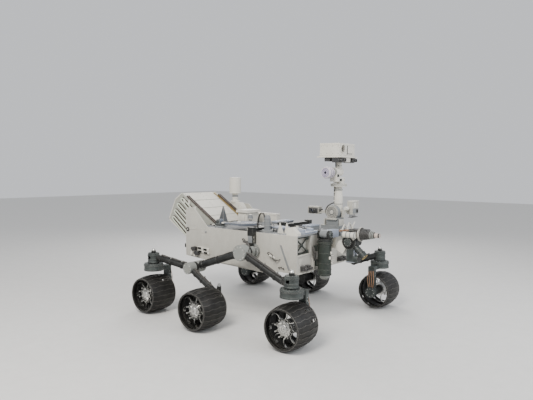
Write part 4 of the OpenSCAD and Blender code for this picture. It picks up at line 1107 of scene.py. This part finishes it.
dress(black_anodise, "shoulder_yoke", "turret_hub")
dress(grey_paint, "upper_arm")
dress(box_paint_sky_tinted, "upper_arm_box")
dress(housing_finish, "forearm", "wrist", "contact_instruments")
shoulder = Vector((1.030, -0.180, 0))
rings = [hoop(z, z + h, r - 0.004, r + 0.004, shoulder, (0, 0, 1), 56)
         for z, r, h in ((0.654, 0.086, 0.016), (0.72, 0.086, 0.010), (0.80, 0.086, 0.008),
                         (0.93, 0.086, 0.008), (1.020, 0.086, 0.014),
                         (1.054, 0.100, 0.006), (1.070, 0.100, 0.006))]
finished(joined(*rings), "shoulder_rings", brace_finish)
band = hoop(0.616, 0.648, 0.0545, 0.058, shoulder, (0, 0, 1), 48)
tip = spun([(0.611, 0.054), (0.604, 0.050), (0.600, 0.040), (0.600, 0)], shoulder, (0, 0, 1), 40)
finished(joined(band, tip), "shoulder_band", cap_paint)
brackets = [block((1.112, -0.215 + k, z), (1.128, -0.185 + k, z + 0.035), 0.003)
            for k, z in ((0, 0.86), (0.03, 0.92), (0.05, 0.80))]
brackets += [block((1.105, -0.17, 0.84), (1.122, -0.10, 0.85), 0.002),
             block((1.105, -0.17, 0.90), (1.122, -0.10, 0.91), 0.002)]
finished(joined(*brackets), "shoulder_brackets", white_paint)
places = bolt_circle(shoulder + Vector((0, 0, 1.0765)), (0, 0, 1), 0.093, 20)
places += [facing((front, y, z), (1, 0, 0)) for y in (-0.30, -0.06) for z in (0.78, 0.84, 0.97, 1.03)]
fasten(places, "shoulder_bolts", 0.006)
harness = [bent([(front, -0.27 + 0.01 * k, 1.00), (0.90, -0.28 + 0.01 * k, 1.02),
                 (0.935, -0.275 + 0.01 * k, 0.96), (0.94, -0.27 + 0.008 * k, 0.85),
                 (0.90, -0.28 + 0.01 * k, 0.76), (front, -0.27 + 0.01 * k, 0.75)], 0.006) for k in range(4)]
finished(joined(*harness), "shoulder_harness", cable_black)

# Shoulder yoke: bolted cheek covers over the lift bearing.
cheeks = []
for s in (-1, 1):
    cheeks.append(spun([(s * 0.0835, 0), (s * 0.0835, 0.046), (s * 0.090, 0.046), (s * 0.094, 0.040),
                        (s * 0.094, 0.020), (s * 0.098, 0.016),
                        (s * 0.098, 0)], shoulder + Vector((0, 0, 1.170)), (1, 0, 0), 40))
skirt = hoop(1.089, 1.096, 0.0875, 0.0905, shoulder, (0, 0, 1), 56)
finished(joined(skirt, *cheeks), "yoke_covers", housing_finish, "shoulder")
places = [p for s in (-1, 1) for p in bolt_circle(shoulder + Vector((s * 0.094, 0, 1.170)),
                                                  (s, 0, 0), 0.032, 8)]
fasten(places, "yoke_screws", 0.005, "shoulder")

# Upper arm: collars at the box, a blank plate on the box, and cables to the elbow.
elbow = Vector((1.030, 0.620, 1.120))
hinge = shoulder + Vector((0, 0, 1.170))
along = (elbow - hinge).normalized()
collars = [clamp_ring(hinge + along * d, along, 0.040) for d in (0.300, 0.44, 0.60, 0.70)]
elbow_cover = spun([(-0.048, 0), (-0.048, 0.058), (-0.056, 0.056), (-0.060, 0.048), (-0.060, 0.024),
                    (-0.066, 0.020), (-0.066, 0)], elbow, (1, 0, 0), 40)
finished(joined(elbow_cover, *collars), "upper_arm_collars", housing_finish, "upper_arm")
label = block((1.076, -0.085, 1.128), (1.0805, 0.062, 1.196), 0.002)
frame_plate = block((0.985, -0.112, 1.205), (1.075, 0.088, 1.212), 0.002)
finished(joined(label, frame_plate), "upper_arm_box_plates", box_paint_sky_tinted, "upper_arm")
places = [facing((1.0765, y, z), (1, 0, 0)) for y in (-0.10, -0.012, 0.076) for z in (1.122, 1.202)]
places += bolt_circle(elbow + Vector((-0.060, 0, 0)), (-1, 0, 0), 0.038, 8)
fasten(places, "upper_arm_screws", 0.005, "upper_arm")
cables = [bent([hinge + along * d + Vector((0.034, 0,
                                            0.028 + 0.012 * k + (0.004 if i % 2 else 0))) for i, d in
                enumerate((0.285, 0.35, 0.44, 0.52, 0.60, 0.68, 0.74))], 0.006) for k in range(2)]
finished(joined(*cables), "upper_arm_cables", cable_amber, "upper_arm")

# Forearm and wrist: turned end covers, collars, and a cable loop over the wrist.
elbow_front = Vector((1.195, 0.620, 1.120))
wrist_at = Vector((1.195, 0.170, 1.062))
along = (wrist_at - elbow_front).normalized()
covers = [clamp_ring(elbow_front + along * d, along, 0.036) for d in (0.09, 0.20, 0.33)]
finished(joined(*covers), "forearm_collars", black_anodise, "forearm")
cables = [bent([elbow_front + along * d + Vector((0.030, 0, 0.030 + 0.012 * k))
                for d in (0.06, 0.14, 0.22, 0.30, 0.38)], 0.0055) for k in range(3)]
finished(joined(*cables), "forearm_cables", cable_amber, "forearm")
places = bolt_circle(wrist_at + Vector((-0.046, 0, 0)), (-1, 0, 0), 0.032, 6)
places += bolt_circle(elbow_front + Vector((0.050, 0, 0)), (1, 0, 0), 0.042, 10)
elbow_cap = spun([(0.047, 0.0585), (0.047, 0.061), (0.051, 0.058), (0.050, 0.030), (0.057, 0.026),
                  (0.057, 0)], elbow_front, (1, 0, 0), 40)
finished(elbow_cap, "elbow_cover", black_anodise, "forearm")
fasten(places, "forearm_screws", 0.005, "forearm")
bars = []
for a, b in (((0.22, 1.180), (0.29, 1.262)), ((0.29, 1.262), (0.36, 1.190)), ((0.36, 1.190), (0.43, 1.275)),
             ((0.43, 1.275), (0.50, 1.190)), ((0.50, 1.190), (0.58, 1.270))):
    a, b = Vector((1.036, a[0], a[1])), Vector((1.036, b[0], b[1]))
    bars.append(plate([a, b, b + Vector((0, 0.026, 0)), a + Vector((0, 0.026, 0))], (0.012, 0, 0), 0.001))
for y in (0.23, 0.37, 0.51):
    top = hinge.z - 0.0625 * (y + 0.18) + 0.036
    bars.append(block((1.024, y - 0.012, top), (1.060, y + 0.014, 1.196), 0.003))
finished(joined(*bars), "arm_bracket", white_paint, "upper_arm")
turret_mid = Vector((1.300, 0, 1.080))
wrist_ring = [spun([(0.084, 0.0555), (0.088, 0.059), (0.100, 0.059), (0.104, 0.0555)], turret_mid,
                   (0, 1, 0), 40)]
wrist_ring.append(hoop(0.062, 0.078, 0.0435, 0.048, wrist_at, (1, 0, 0), 36))
wrist_ring.append(spun([(0.146, 0.0435), (0.152, 0.041), (0.152, 0.020), (0.158, 0.018), (0.158, 0)],
                       wrist_at, (1, 0, 0), 36))
finished(joined(*wrist_ring), "wrist_rings", black_anodise, "wrist")
strands = [bent([wrist_at + Vector((0.09, 0.012 + k, 0.046)), wrist_at + Vector((0.10, -0.02 + k, 0.078)),
                 Vector((1.298, 0.125 + k, 1.150)),
                 Vector((1.300, 0.098 + k, 1.138))], 0.0055) for k in (-0.008, 0.006)]
finished(joined(*strands), "wrist_cables", cable_amber, "wrist")

# Turret: gear hub with a bolt ring; white gussets, drill, sieve box, brush and spectrometer.
# Ribbed rubber-coated drill body: brown black and dull.
dress(machined("dark_drill_bellows", "#3A3836", "#252322", 0.6, 0.0), "drill")
dress(white_paint, "sample_handler")
rings = [hoop(d, d + 0.010, 0.0885, 0.094, turret_mid, (0, 1, 0), 56) for d in (-0.058, 0.0, 0.060)]
rings.append(spun([(-0.083, 0.050), (-0.087, 0.046), (-0.087, 0.020), (-0.092, 0.016), (-0.092, 0)],
                  turret_mid, (0, 1, 0), 40))
finished(joined(*rings), "turret_rings", housing_finish, "turret")
places = bolt_circle(turret_mid + Vector((0, -0.0845, 0)), (0, -1, 0), 0.044, 12)
places += [facing(Vector((x, -0.0465, z)), (0, -1, 0)) for x in (1.305, 1.35, 1.395) for z in (1.150, 1.228)]
places += [facing(Vector((1.3645, y, z)), (1, 0, 0)) for y in (-0.044, 0.044) for z in (0.830, 0.92, 0.99)]
fasten(places, "turret_bolts", 0.005, "turret")
gussets = []
for y in (-0.064, 0.058):
    outline = [(1.235, y, 1.150), (1.300, y, 1.205), (1.405, y, 1.215), (1.405, y, 1.150), (1.365, y, 1.105),
               (1.300, y, 1.172)]
    gussets.append(plate(outline, (0, 0.006, 0), 0.001))
finished(joined(*gussets), "turret_gussets", white_paint, "turret")
drill_axis = Vector((0, 0, 1.186))
clamps = [hoop(x, x + w, r - 0.004, r + 0.004, drill_axis, (1, 0, 0), 56)
          for x, r, w in ((1.4345, 0.084, 0.004), (1.446, 0.084, 0.004), (1.417, 0.060, 0.012))]
finished(joined(*clamps), "drill_flange", white_paint, "turret")
folds = []
for k in range(9):
    x = 1.460 + 0.0118 * k
    r = 0.073 - (x - 1.451) * 0.198
    folds.append(spun([(x - 0.004, r - 0.004), (x, r + 0.004), (x + 0.004, r - 0.004)], drill_axis,
                      (1, 0, 0), 48))
finished(joined(*folds), "drill_bellows", black_anodise, "turret")
grips = [hoop(x, x + 0.010, r - 0.003, r + 0.004, drill_axis, (1, 0, 0), 48)
         for x, r in ((1.570, 0.046), (1.588, 0.042), (1.606, 0.038))]
finished(joined(*grips), "drill_clamps", cap_paint, "turret")
# Bit sleeve: pale pinkish grey, slightly stained.
bit_paint = sprayed("pale_pink_grey_bit_sleeve", "#C6B7AC", "#A7988E", 0.45, 0.05)
sleeve = spun([(1.626, 0.026), (1.626, 0.0285), (1.668, 0.0285), (1.672, 0.026), (1.6905, 0.024),
               (1.6905, 0)], drill_axis, (1, 0, 0), 40)
finished(sleeve, "drill_bit_sleeve", bit_paint, "turret")
side_tube = Vector((0, -0.086, 1.174))
bands = [hoop(x, x + 0.012, 0.036, 0.040, side_tube, (1, 0, 0), 36) for x in (1.232, 1.285, 1.340, 1.396)]
finished(joined(*bands), "side_tube_bands", grey_paint, "turret")
lean = Vector((math.cos(math.radians(42)), 0, -math.sin(math.radians(42))))
brush = [hoop(d, d + w, r - 0.004, r + 0.004, turret_mid, lean, 40)
         for d, r, w in ((0.100, 0.041, 0.010), (0.140, 0.041, 0.006), (0.170, 0.041, 0.006),
                         (0.202, 0.048, 0.008))]
brush.append(spun([(0.0625, 0.047), (0.064, 0.047), (0.068, 0.044), (0.1165, 0.044), (0.1165, 0)],
                  Vector((1.300, 0, 0.870)), (1, 0, 0), 36))
finished(joined(*brush), "instrument_rings", black_anodise, "turret")
# Brass tool ring: yellowish satin metal.
tool_ring = machined("brass_tool_ring", "#B39A5B", "#8A7440", 0.35, 1.0)
ring = spun([(0.258, 0.044), (0.266, 0.046), (0.266, 0.036), (0.256, 0.030), (0.256, 0.010), (0.2665, 0.008),
             (0.2665, 0)], turret_mid, lean, 40)
finished(ring, "brass_tool_ring_piece", tool_ring, "turret")
sheet = block((1.262, -0.060, 0.826), (1.371, 0.060, 0.834), 0.003)
panel = [block((1.2655, -0.050, 0.86), (1.2705, 0.050, 0.99), 0.002),
         block((1.3635, -0.040, 0.90), (1.3700, 0.040, 0.985), 0.002)]
finished(joined(sheet, *panel), "instrument_covers", box_paint_sky_tinted, "turret")
loops_t = [bent([Vector((1.290, -0.060 + k, 1.165)), Vector((1.270, -0.075 + k, 1.205)),
                 Vector((1.32, -0.070 + k, 1.235)),
                 Vector((1.38, -0.055 + k, 1.230)), Vector((1.40, -0.046 + k, 1.20))], 0.0055)
           for k in (-0.006, 0.006, 0.120)]
finished(joined(*loops_t), "turret_cables", cable_black, "turret")


# ---------------------------------------------------------------- mast base
# A cast bracket bolted to the deck carries the mast's hinge, which latched once. Two sensor boxes
# stand out beside it on square tubes.

dress(grey_paint, "mast_base")
dress(panel_paint, "mast_base_boxes")
hinge = Vector((0.766, 0, 1.395))
rings = []
for r in (0.078, 0.062, 0.046):
    rings.append(spun([(0.4305, r - 0.004), (0.4265, r - 0.003), (0.4265, r + 0.003), (0.4305, r + 0.004)],
                      hinge, (0, 1, 0), 48))
rings.append(spun([(0.4405, 0.093), (0.436, 0.093), (0.436, 0.086), (0.4405, 0.084)], hinge, (0, 1, 0), 48))
rings.append(spun([(0.431, 0.030), (0.424, 0.028), (0.422, 0.018), (0.422, 0)], hinge, (0, 1, 0), 36))
finished(joined(*rings), "hinge_rings", panel_paint)
grooves = [spun([(0.4305, r + 0.003), (0.4285, r + 0.003), (0.4285, r - 0.003), (0.4305, r - 0.003)], hinge,
                (0, 1, 0), 48) for r in (0.070, 0.054, 0.038)]
finished(joined(*grooves), "hinge_grooves", black_anodise)
places = bolt_circle(hinge + Vector((0, 0.439, 0)), (0, -1, 0), 0.085, 16)
places += [facing((x, y, 1.210), (0, 0, 1)) for x in (0.612, 0.864) for y in (0.435, 0.51, 0.585)]
places += [facing((x, 0.4495, z), (0, -1, 0)) for x in (0.684, 0.852) for z in (1.225, 1.305)]
fasten(places, "mast_base_bolts", 0.0065)
plates = [block((0.600, 0.425, 1.208), (0.660, 0.595, 1.216), 0.002),
          block((0.672, 0.4435, 1.285), (0.700, 0.4505, 1.318), 0.002),
          block((0.690, 0.420, 1.290), (0.845, 0.4415, 1.312), 0.004),
          block((0.640, 0.430, 1.214), (0.656, 0.560, 1.300), 0.003),
          block((0.872, 0.45, 1.205), (0.878, 0.585, 1.30), 0.003)]
finished(joined(*plates), "mast_base_plates", panel_paint)
box_lid = [block((0.331, 0.495, 1.440), (0.512, 0.600, 1.458), 0.004),
           block((0.330, 0.494, 1.352), (0.334, 0.60, 1.445), 0.001)]
finished(joined(*box_lid), "left_sensor_lid", panel_paint)
dark_front = block((0.345, 0.493, 1.358), (0.498, 0.5015, 1.436), 0.003)
barrels = [lens_barrel((0.507, 0.548, 1.400), (1, 0, 0), 0.024),
           lens_barrel((0.42, 0.494, 1.398), (0, -1, 0), 0.027)]
finished(joined(dark_front, *barrels), "left_sensor_front", camera_black)
fronts = [lens_glass((0.5245, 0.548, 1.400), (1, 0, 0), 0.017),
          lens_glass((0.42, 0.4765, 1.398), (0, -1, 0), 0.020)]
finished(joined(*fronts), "left_sensor_lens", glass)
right = [block((0.9655, 0.700, 1.45), (0.970, 0.760, 1.52), 0.001),
         block((0.878, 0.655, 1.538), (0.970, 0.845, 1.549), 0.004),
         spun([(0.560, 0), (0.560, 0.022), (0.566, 0.026), (0.640, 0.026), (0.646, 0.022), (0.646, 0)],
              (0.905, 0, 1.445), (0, 1, 0), 28)]
finished(joined(*right), "right_sensor_panel", white_paint)
grey_panel = block((0.9655, 0.668, 1.368), (0.9695, 0.832, 1.440), 0.001)
dark_eye = spun([(0.968, 0.030), (0.973, 0.028), (0.973, 0.022), (0.9695, 0.020), (0.9695, 0)],
                (0, 0.790, 1.404), (1, 0, 0), 32)
finished(grey_panel, "right_sensor_plate", grey_paint)
finished(dark_eye, "right_sensor_eye", camera_black)
lattice = []
for k in range(6):
    y = 0.668 + k * 0.0315
    lattice.append(bent([(0.912, y, 1.362), (0.918, y + 0.010, 1.335), (0.912, y + 0.016, 1.320)], 0.004))
lattice.append(block((0.892, 0.664, 1.314), (0.960, 0.836, 1.322), 0.002))
finished(joined(*lattice), "right_sensor_lattice", black_anodise)
strands = [bent([(0.70, 0.46 + k, 1.32), (0.665, 0.44 + k, 1.36), (0.64, 0.45 + k, 1.44),
                 (0.68, 0.50 + k, 1.50), (0.722, 0.56 + k, 1.52)], 0.007) for k in (0.0, 0.016)]
strands += [bent([(0.722, 0.575 + k, 1.50), (0.718, 0.575 + k, 1.60), (0.718, 0.575 + k, 1.70),
                  (0.716, 0.575 + k, 1.748)], 0.006) for k in (0.0, 0.014, 0.028)]
finished(joined(*strands), "mast_cables", cable_black)


# ---------------------------------------------------------------- mast
# A white painted composite tube with machined end fittings, the pan actuator on its top flange and
# the cable drum of the nod joint beside it.

dress(white_paint, "mast_tube", "mast_pan_unit", "camera_head", "instrument_box")
mast = Vector((0.780, 0.590, 0))
rings = [hoop(z, z + h, r - 0.003, r + 0.003, mast, (0, 0, 1), 56)
         for z, r, h in ((1.392, 0.059, 0.026), (1.500, 0.058, 0.010), (1.700, 0.058, 0.010),
                         (1.760, 0.112, 0.008), (1.778, 0.112, 0.006))]
finished(joined(*rings), "mast_rings", cap_paint)
places = bolt_circle(mast + Vector((0, 0, 1.750)), (0, 0, -1), 0.100, 16)
places += bolt_circle(mast + Vector((0, 0, 1.7925)), (0, 0, 1), 0.100, 16)
fasten(places, "mast_flange_bolts", 0.006)
clips = [block((0.712, 0.568, z), (0.726, 0.612, z + 0.016), 0.003) for z in (1.54, 1.60, 1.66, 1.72)]
finished(joined(*clips), "mast_cable_clips", white_paint)

# Pan unit: connector block, covers and the coiled flat cable on the nod drum.
# Cable jacket: white, with violet clouds that are a painted highlight.
coil_white = sprayed("white_cable_jacket_painted_violet_highlight", "#D9D4DC", "#9A8FA8", 0.4, 0.04)
drum = Vector((0.740, 0, 1.943))
turns = [spun([(y, 0.0745), (y + 0.003, 0.0795), (y + 0.009, 0.0795), (y + 0.012, 0.0745)], drum, (0, 1, 0),
              56) for y in (0.300, 0.314, 0.342, 0.356, 0.384, 0.398)]
face_rings = [spun([(0.2905, r + 0.006), (0.2855, r + 0.004), (0.2855, r - 0.004), (0.2905, r - 0.006)], drum,
                   (0, 1, 0), 48) for r in (0.064, 0.046, 0.028)]
finished(joined(*turns, *face_rings), "cable_coil", coil_white, "mast_pan")
hub = spun([(0.291, 0.016), (0.284, 0.014), (0.284, 0)], drum, (0, 1, 0), 28)
dark_bands = [spun([(y, 0.0745), (y + 0.001, 0.0765), (y + 0.009, 0.0765), (y + 0.010, 0.0745)], drum,
                   (0, 1, 0), 56) for y in (0.328, 0.370, 0.412)]
finished(joined(hub, *dark_bands), "cable_coil_core", black_anodise, "mast_pan")
# Violet rings on the drum face: a painted violet highlight, with a soft shine.
violet = sprayed("painted_violet_highlight_face", "#746C93", "#565072", 0.4, 0.04)
face = [spun([(0.2905, r + 0.005), (0.2875, r + 0.005), (0.2875, r - 0.005), (0.2905, r - 0.005)], drum,
             (0, 1, 0), 48) for r in (0.055, 0.037, 0.021)]
finished(joined(*face), "cable_coil_face", violet, "mast_pan")
window = block((0.8435, 0.500, 1.826), (0.8475, 0.560, 1.860), 0.001)
slot_dark = block((0.8255, 0.462, 1.885), (0.829, 0.516, 1.935), 0.001)
finished(joined(window, slot_dark), "pan_window", black_anodise, "mast_pan")
covers = [spun([(0.438, 0.058), (0.434, 0.052), (0.434, 0.024), (0.428, 0.020), (0.428, 0)],
               (0.780, 0, 1.955), (0, 1, 0), 40),
          block((0.716, 0.560, 1.820), (0.723, 0.640, 1.866), 0.003),
          block((0.735, 0.6475, 1.820), (0.835, 0.654, 1.866), 0.002)]
finished(joined(*covers), "pan_covers", cap_paint, "mast_pan")
places = bolt_circle((0.780, 0.434, 1.955), (0, -1, 0), 0.040, 8)
places += [facing((0.8445, y, z), (1, 0, 0)) for y in (0.455, 0.635) for z in (1.822, 1.864)]
fasten(places, "pan_screws", 0.005, "mast_pan")


# ---------------------------------------------------------------- camera head
# Square cameras hang under the head plate, two pairs at the front and a box at each rear corner;
# the telescope box sits on the plate, white painted, with a hooded window.

camera_z = 2.118                    # the mast cameras' lens height
box_top, box_front = 2.349, 0.905
fronts, barrels, hoods, body_screws = [], [], [], []
for y in (0.394, 0.470, 0.710, 0.786):
    barrels.append(lens_barrel((0.9165, y, camera_z), (1, 0, 0), 0.023))
    fronts.append(lens_glass((0.935, y, camera_z), (1, 0, 0), 0.016))
    hoods.append(block((0.795, y - 0.034, 2.146), (0.916, y + 0.034, 2.153), 0.002))
for y in (0.382, 0.482, 0.698, 0.798):
    body_screws += [facing((x, y, 2.0985), (0, 0, -1)) for x in (0.680, 0.740)]
plates = [block((0.667, y0 - 0.002, 2.108), (0.672, y0 + 0.122, 2.146), 0.001) for y0 in (0.380, 0.680)]
finished(joined(*barrels, *hoods, *plates), "mast_camera_barrels", camera_black, "mast_head")
finished(joined(*fronts), "mast_camera_lenses", glass, "mast_head")
centre = block((0.850, 0.535, 2.090), (0.925, 0.650, 2.152), 0.005)
lips = [block((0.584, y, 2.1665), (0.916, y + 0.014, 2.176), 0.003) for y in (0.3615, 0.8045)]
lips += [block((x, 0.364, 2.1665), (x + 0.011, 0.816, 2.176), 0.003) for x in (0.584, 0.9045)]
finished(joined(centre, *lips), "head_centre_block", white_paint, "mast_head")
tele = Vector((box_front, 0.455, 2.273))
hood = spun([(-0.002, 0.056), (0.004, 0.062), (0.012, 0.062), (0.014, 0.058), (0.014, 0.0545),
             (-0.002, 0.0540)], tele, (1, 0, 0), 56)
finished(hood, "telescope_hood", white_paint, "mast_head")
inner = spun([(-0.037, 0.050), (-0.030, 0.050), (-0.030, 0.044), (-0.037, 0.042)], tele, (1, 0, 0), 56)
finished(inner, "telescope_ring", black_anodise, "mast_head")
window = spun([(-0.0395, 0.0535), (-0.0365, 0.0535), (-0.033, 0.040), (-0.031, 0.020), (-0.0305, 0)], tele,
              (1, 0, 0), 56)
finished(window, "telescope_window", glass, "mast_head")
slit = block((0.9045, 0.585, 2.195), (0.9085, 0.600, 2.320), 0.001)
vents = [block((0.9045, 0.62 + k * 0.03, 2.20), (0.9075, 0.632 + k * 0.03, 2.216), 0.001) for k in range(4)]
finished(joined(slit, *vents), "head_slit", black_anodise, "mast_head")
seam = [block((0.591, 0.371, 2.183), (0.909, 0.809, 2.188), 0.001),
        block((0.591, 0.371, 2.325), (0.909, 0.809, 2.329), 0.001)]
finished(joined(*seam), "head_seams", white_paint, "mast_head")
screws = [facing((x, y, box_top), (0, 0, 1)) for x in (0.610, 0.700, 0.800, 0.890) for y in (0.390, 0.790)]
screws += [facing((x, y, box_top), (0, 0, 1)) for x in (0.610, 0.890) for y in (0.49, 0.59, 0.69)]
screws += [facing((x, s, z), (0, -1 if s < 0.5 else 1, 0)) for s in (0.375, 0.805)
           for x in (0.615, 0.71, 0.80, 0.885) for z in (2.205, 2.308)]
screws += [facing((0.595, y, z), (-1, 0, 0)) for y in (0.40, 0.50, 0.60, 0.70, 0.78) for z in (2.205, 2.308)]
screws += [facing((box_front, y, 2.308), (1, 0, 0)) for y in (0.64, 0.71, 0.785)] + body_screws
fasten(screws, "head_screws", 0.005, "mast_head")
post = [hoop(z, z + 0.010, 0.0365, 0.041, mast, (0, 0, 1), 40) for z in (2.035, 2.095)]
post.append(spun([(0.5475, 0.052), (0.544, 0.048), (0.544, 0.026)], (0.780, 0, 1.955), (0, 1, 0), 40))
finished(joined(*post), "head_post_rings", cap_paint, "mast_head")
strands = [bent([(0.738, 0.60 + k, 1.99), (0.722, 0.60 + k, 2.04), (0.725, 0.60 + k, 2.11),
                 (0.735, 0.60 + k, 2.154)], 0.006) for k in (-0.014, 0.0, 0.014)]
finished(joined(*strands), "head_cables", cable_black, "mast_head")


# ---------------------------------------------------------------- studio
# A plain pale floor under the wheels, soft light panels, and the camera low off the starboard bow.

aim = Vector((-0.048, 0.0, 1.548))
azimuth, elevation, roll = math.radians(37.783), math.radians(3.299), math.radians(0.499)
away = Vector((math.sin(azimuth) * math.cos(elevation), -math.cos(azimuth) * math.cos(elevation),
               math.sin(elevation)))
level = (-away).cross(Vector((0, 0, 1))).normalized()
upward = level.cross(-away)
right = math.cos(roll) * level + math.sin(roll) * upward
above = math.cos(roll) * upward - math.sin(roll) * level
lens = bpy.data.cameras.new("camera")
lens.sensor_width = 36.0
lens.lens = 33.35
camera = bpy.data.objects.new("camera", lens)
camera.matrix_world = Matrix.Translation(aim + 7.011 * away) @ Matrix((right, above,
                                                                       away)).transposed().to_4x4()
bpy.context.scene.collection.objects.link(camera)
bpy.context.scene.camera = camera

world = bpy.data.worlds.new("studio")
world.use_nodes = True
world.node_tree.nodes["Background"].inputs["Color"].default_value = (0.88, 0.90, 0.94, 1)
world.node_tree.nodes["Background"].inputs["Strength"].default_value = 0.85
bpy.context.scene.world = world
for name, place, size, power, tint in (("key_light", (1.5, -6.0, 6.5), 3.0, 700, (1.0, 0.965, 0.91)),
                                       ("fill_light", (6.5, 1.5, 4.0), 4.5, 260, (0.92, 0.95, 1.0)),
                                       ("back_light", (-4.0, 5.5, 5.0), 4.0, 260, (1.0, 0.97, 0.94))):
    lamp = bpy.data.lights.new(name, "AREA")
    lamp.size, lamp.energy, lamp.color = size, power, tint
    panel = bpy.data.objects.new(name, lamp)
    panel.matrix_world = facing(place, Vector(place) - Vector((0, 0, 0.9)))
    bpy.context.scene.collection.objects.link(panel)

# Sealed concrete, rolled pale and matte, with the slight clouding of a painted floor.
# Floor paint: pale, matte, with slight clouds.
floor_paint = sprayed("pale_floor_paint", "#DAD9D6", "#D2D1CE", 0.8, 0.0)
clear()
bpy.ops.mesh.primitive_plane_add(size=60, location=(0, 0, -0.001))
floor = bpy.context.object
bpy.ops.object.transform_apply(location=True, rotation=True, scale=True)
floor.name = "floor"
floor.data.materials.append(floor_paint)
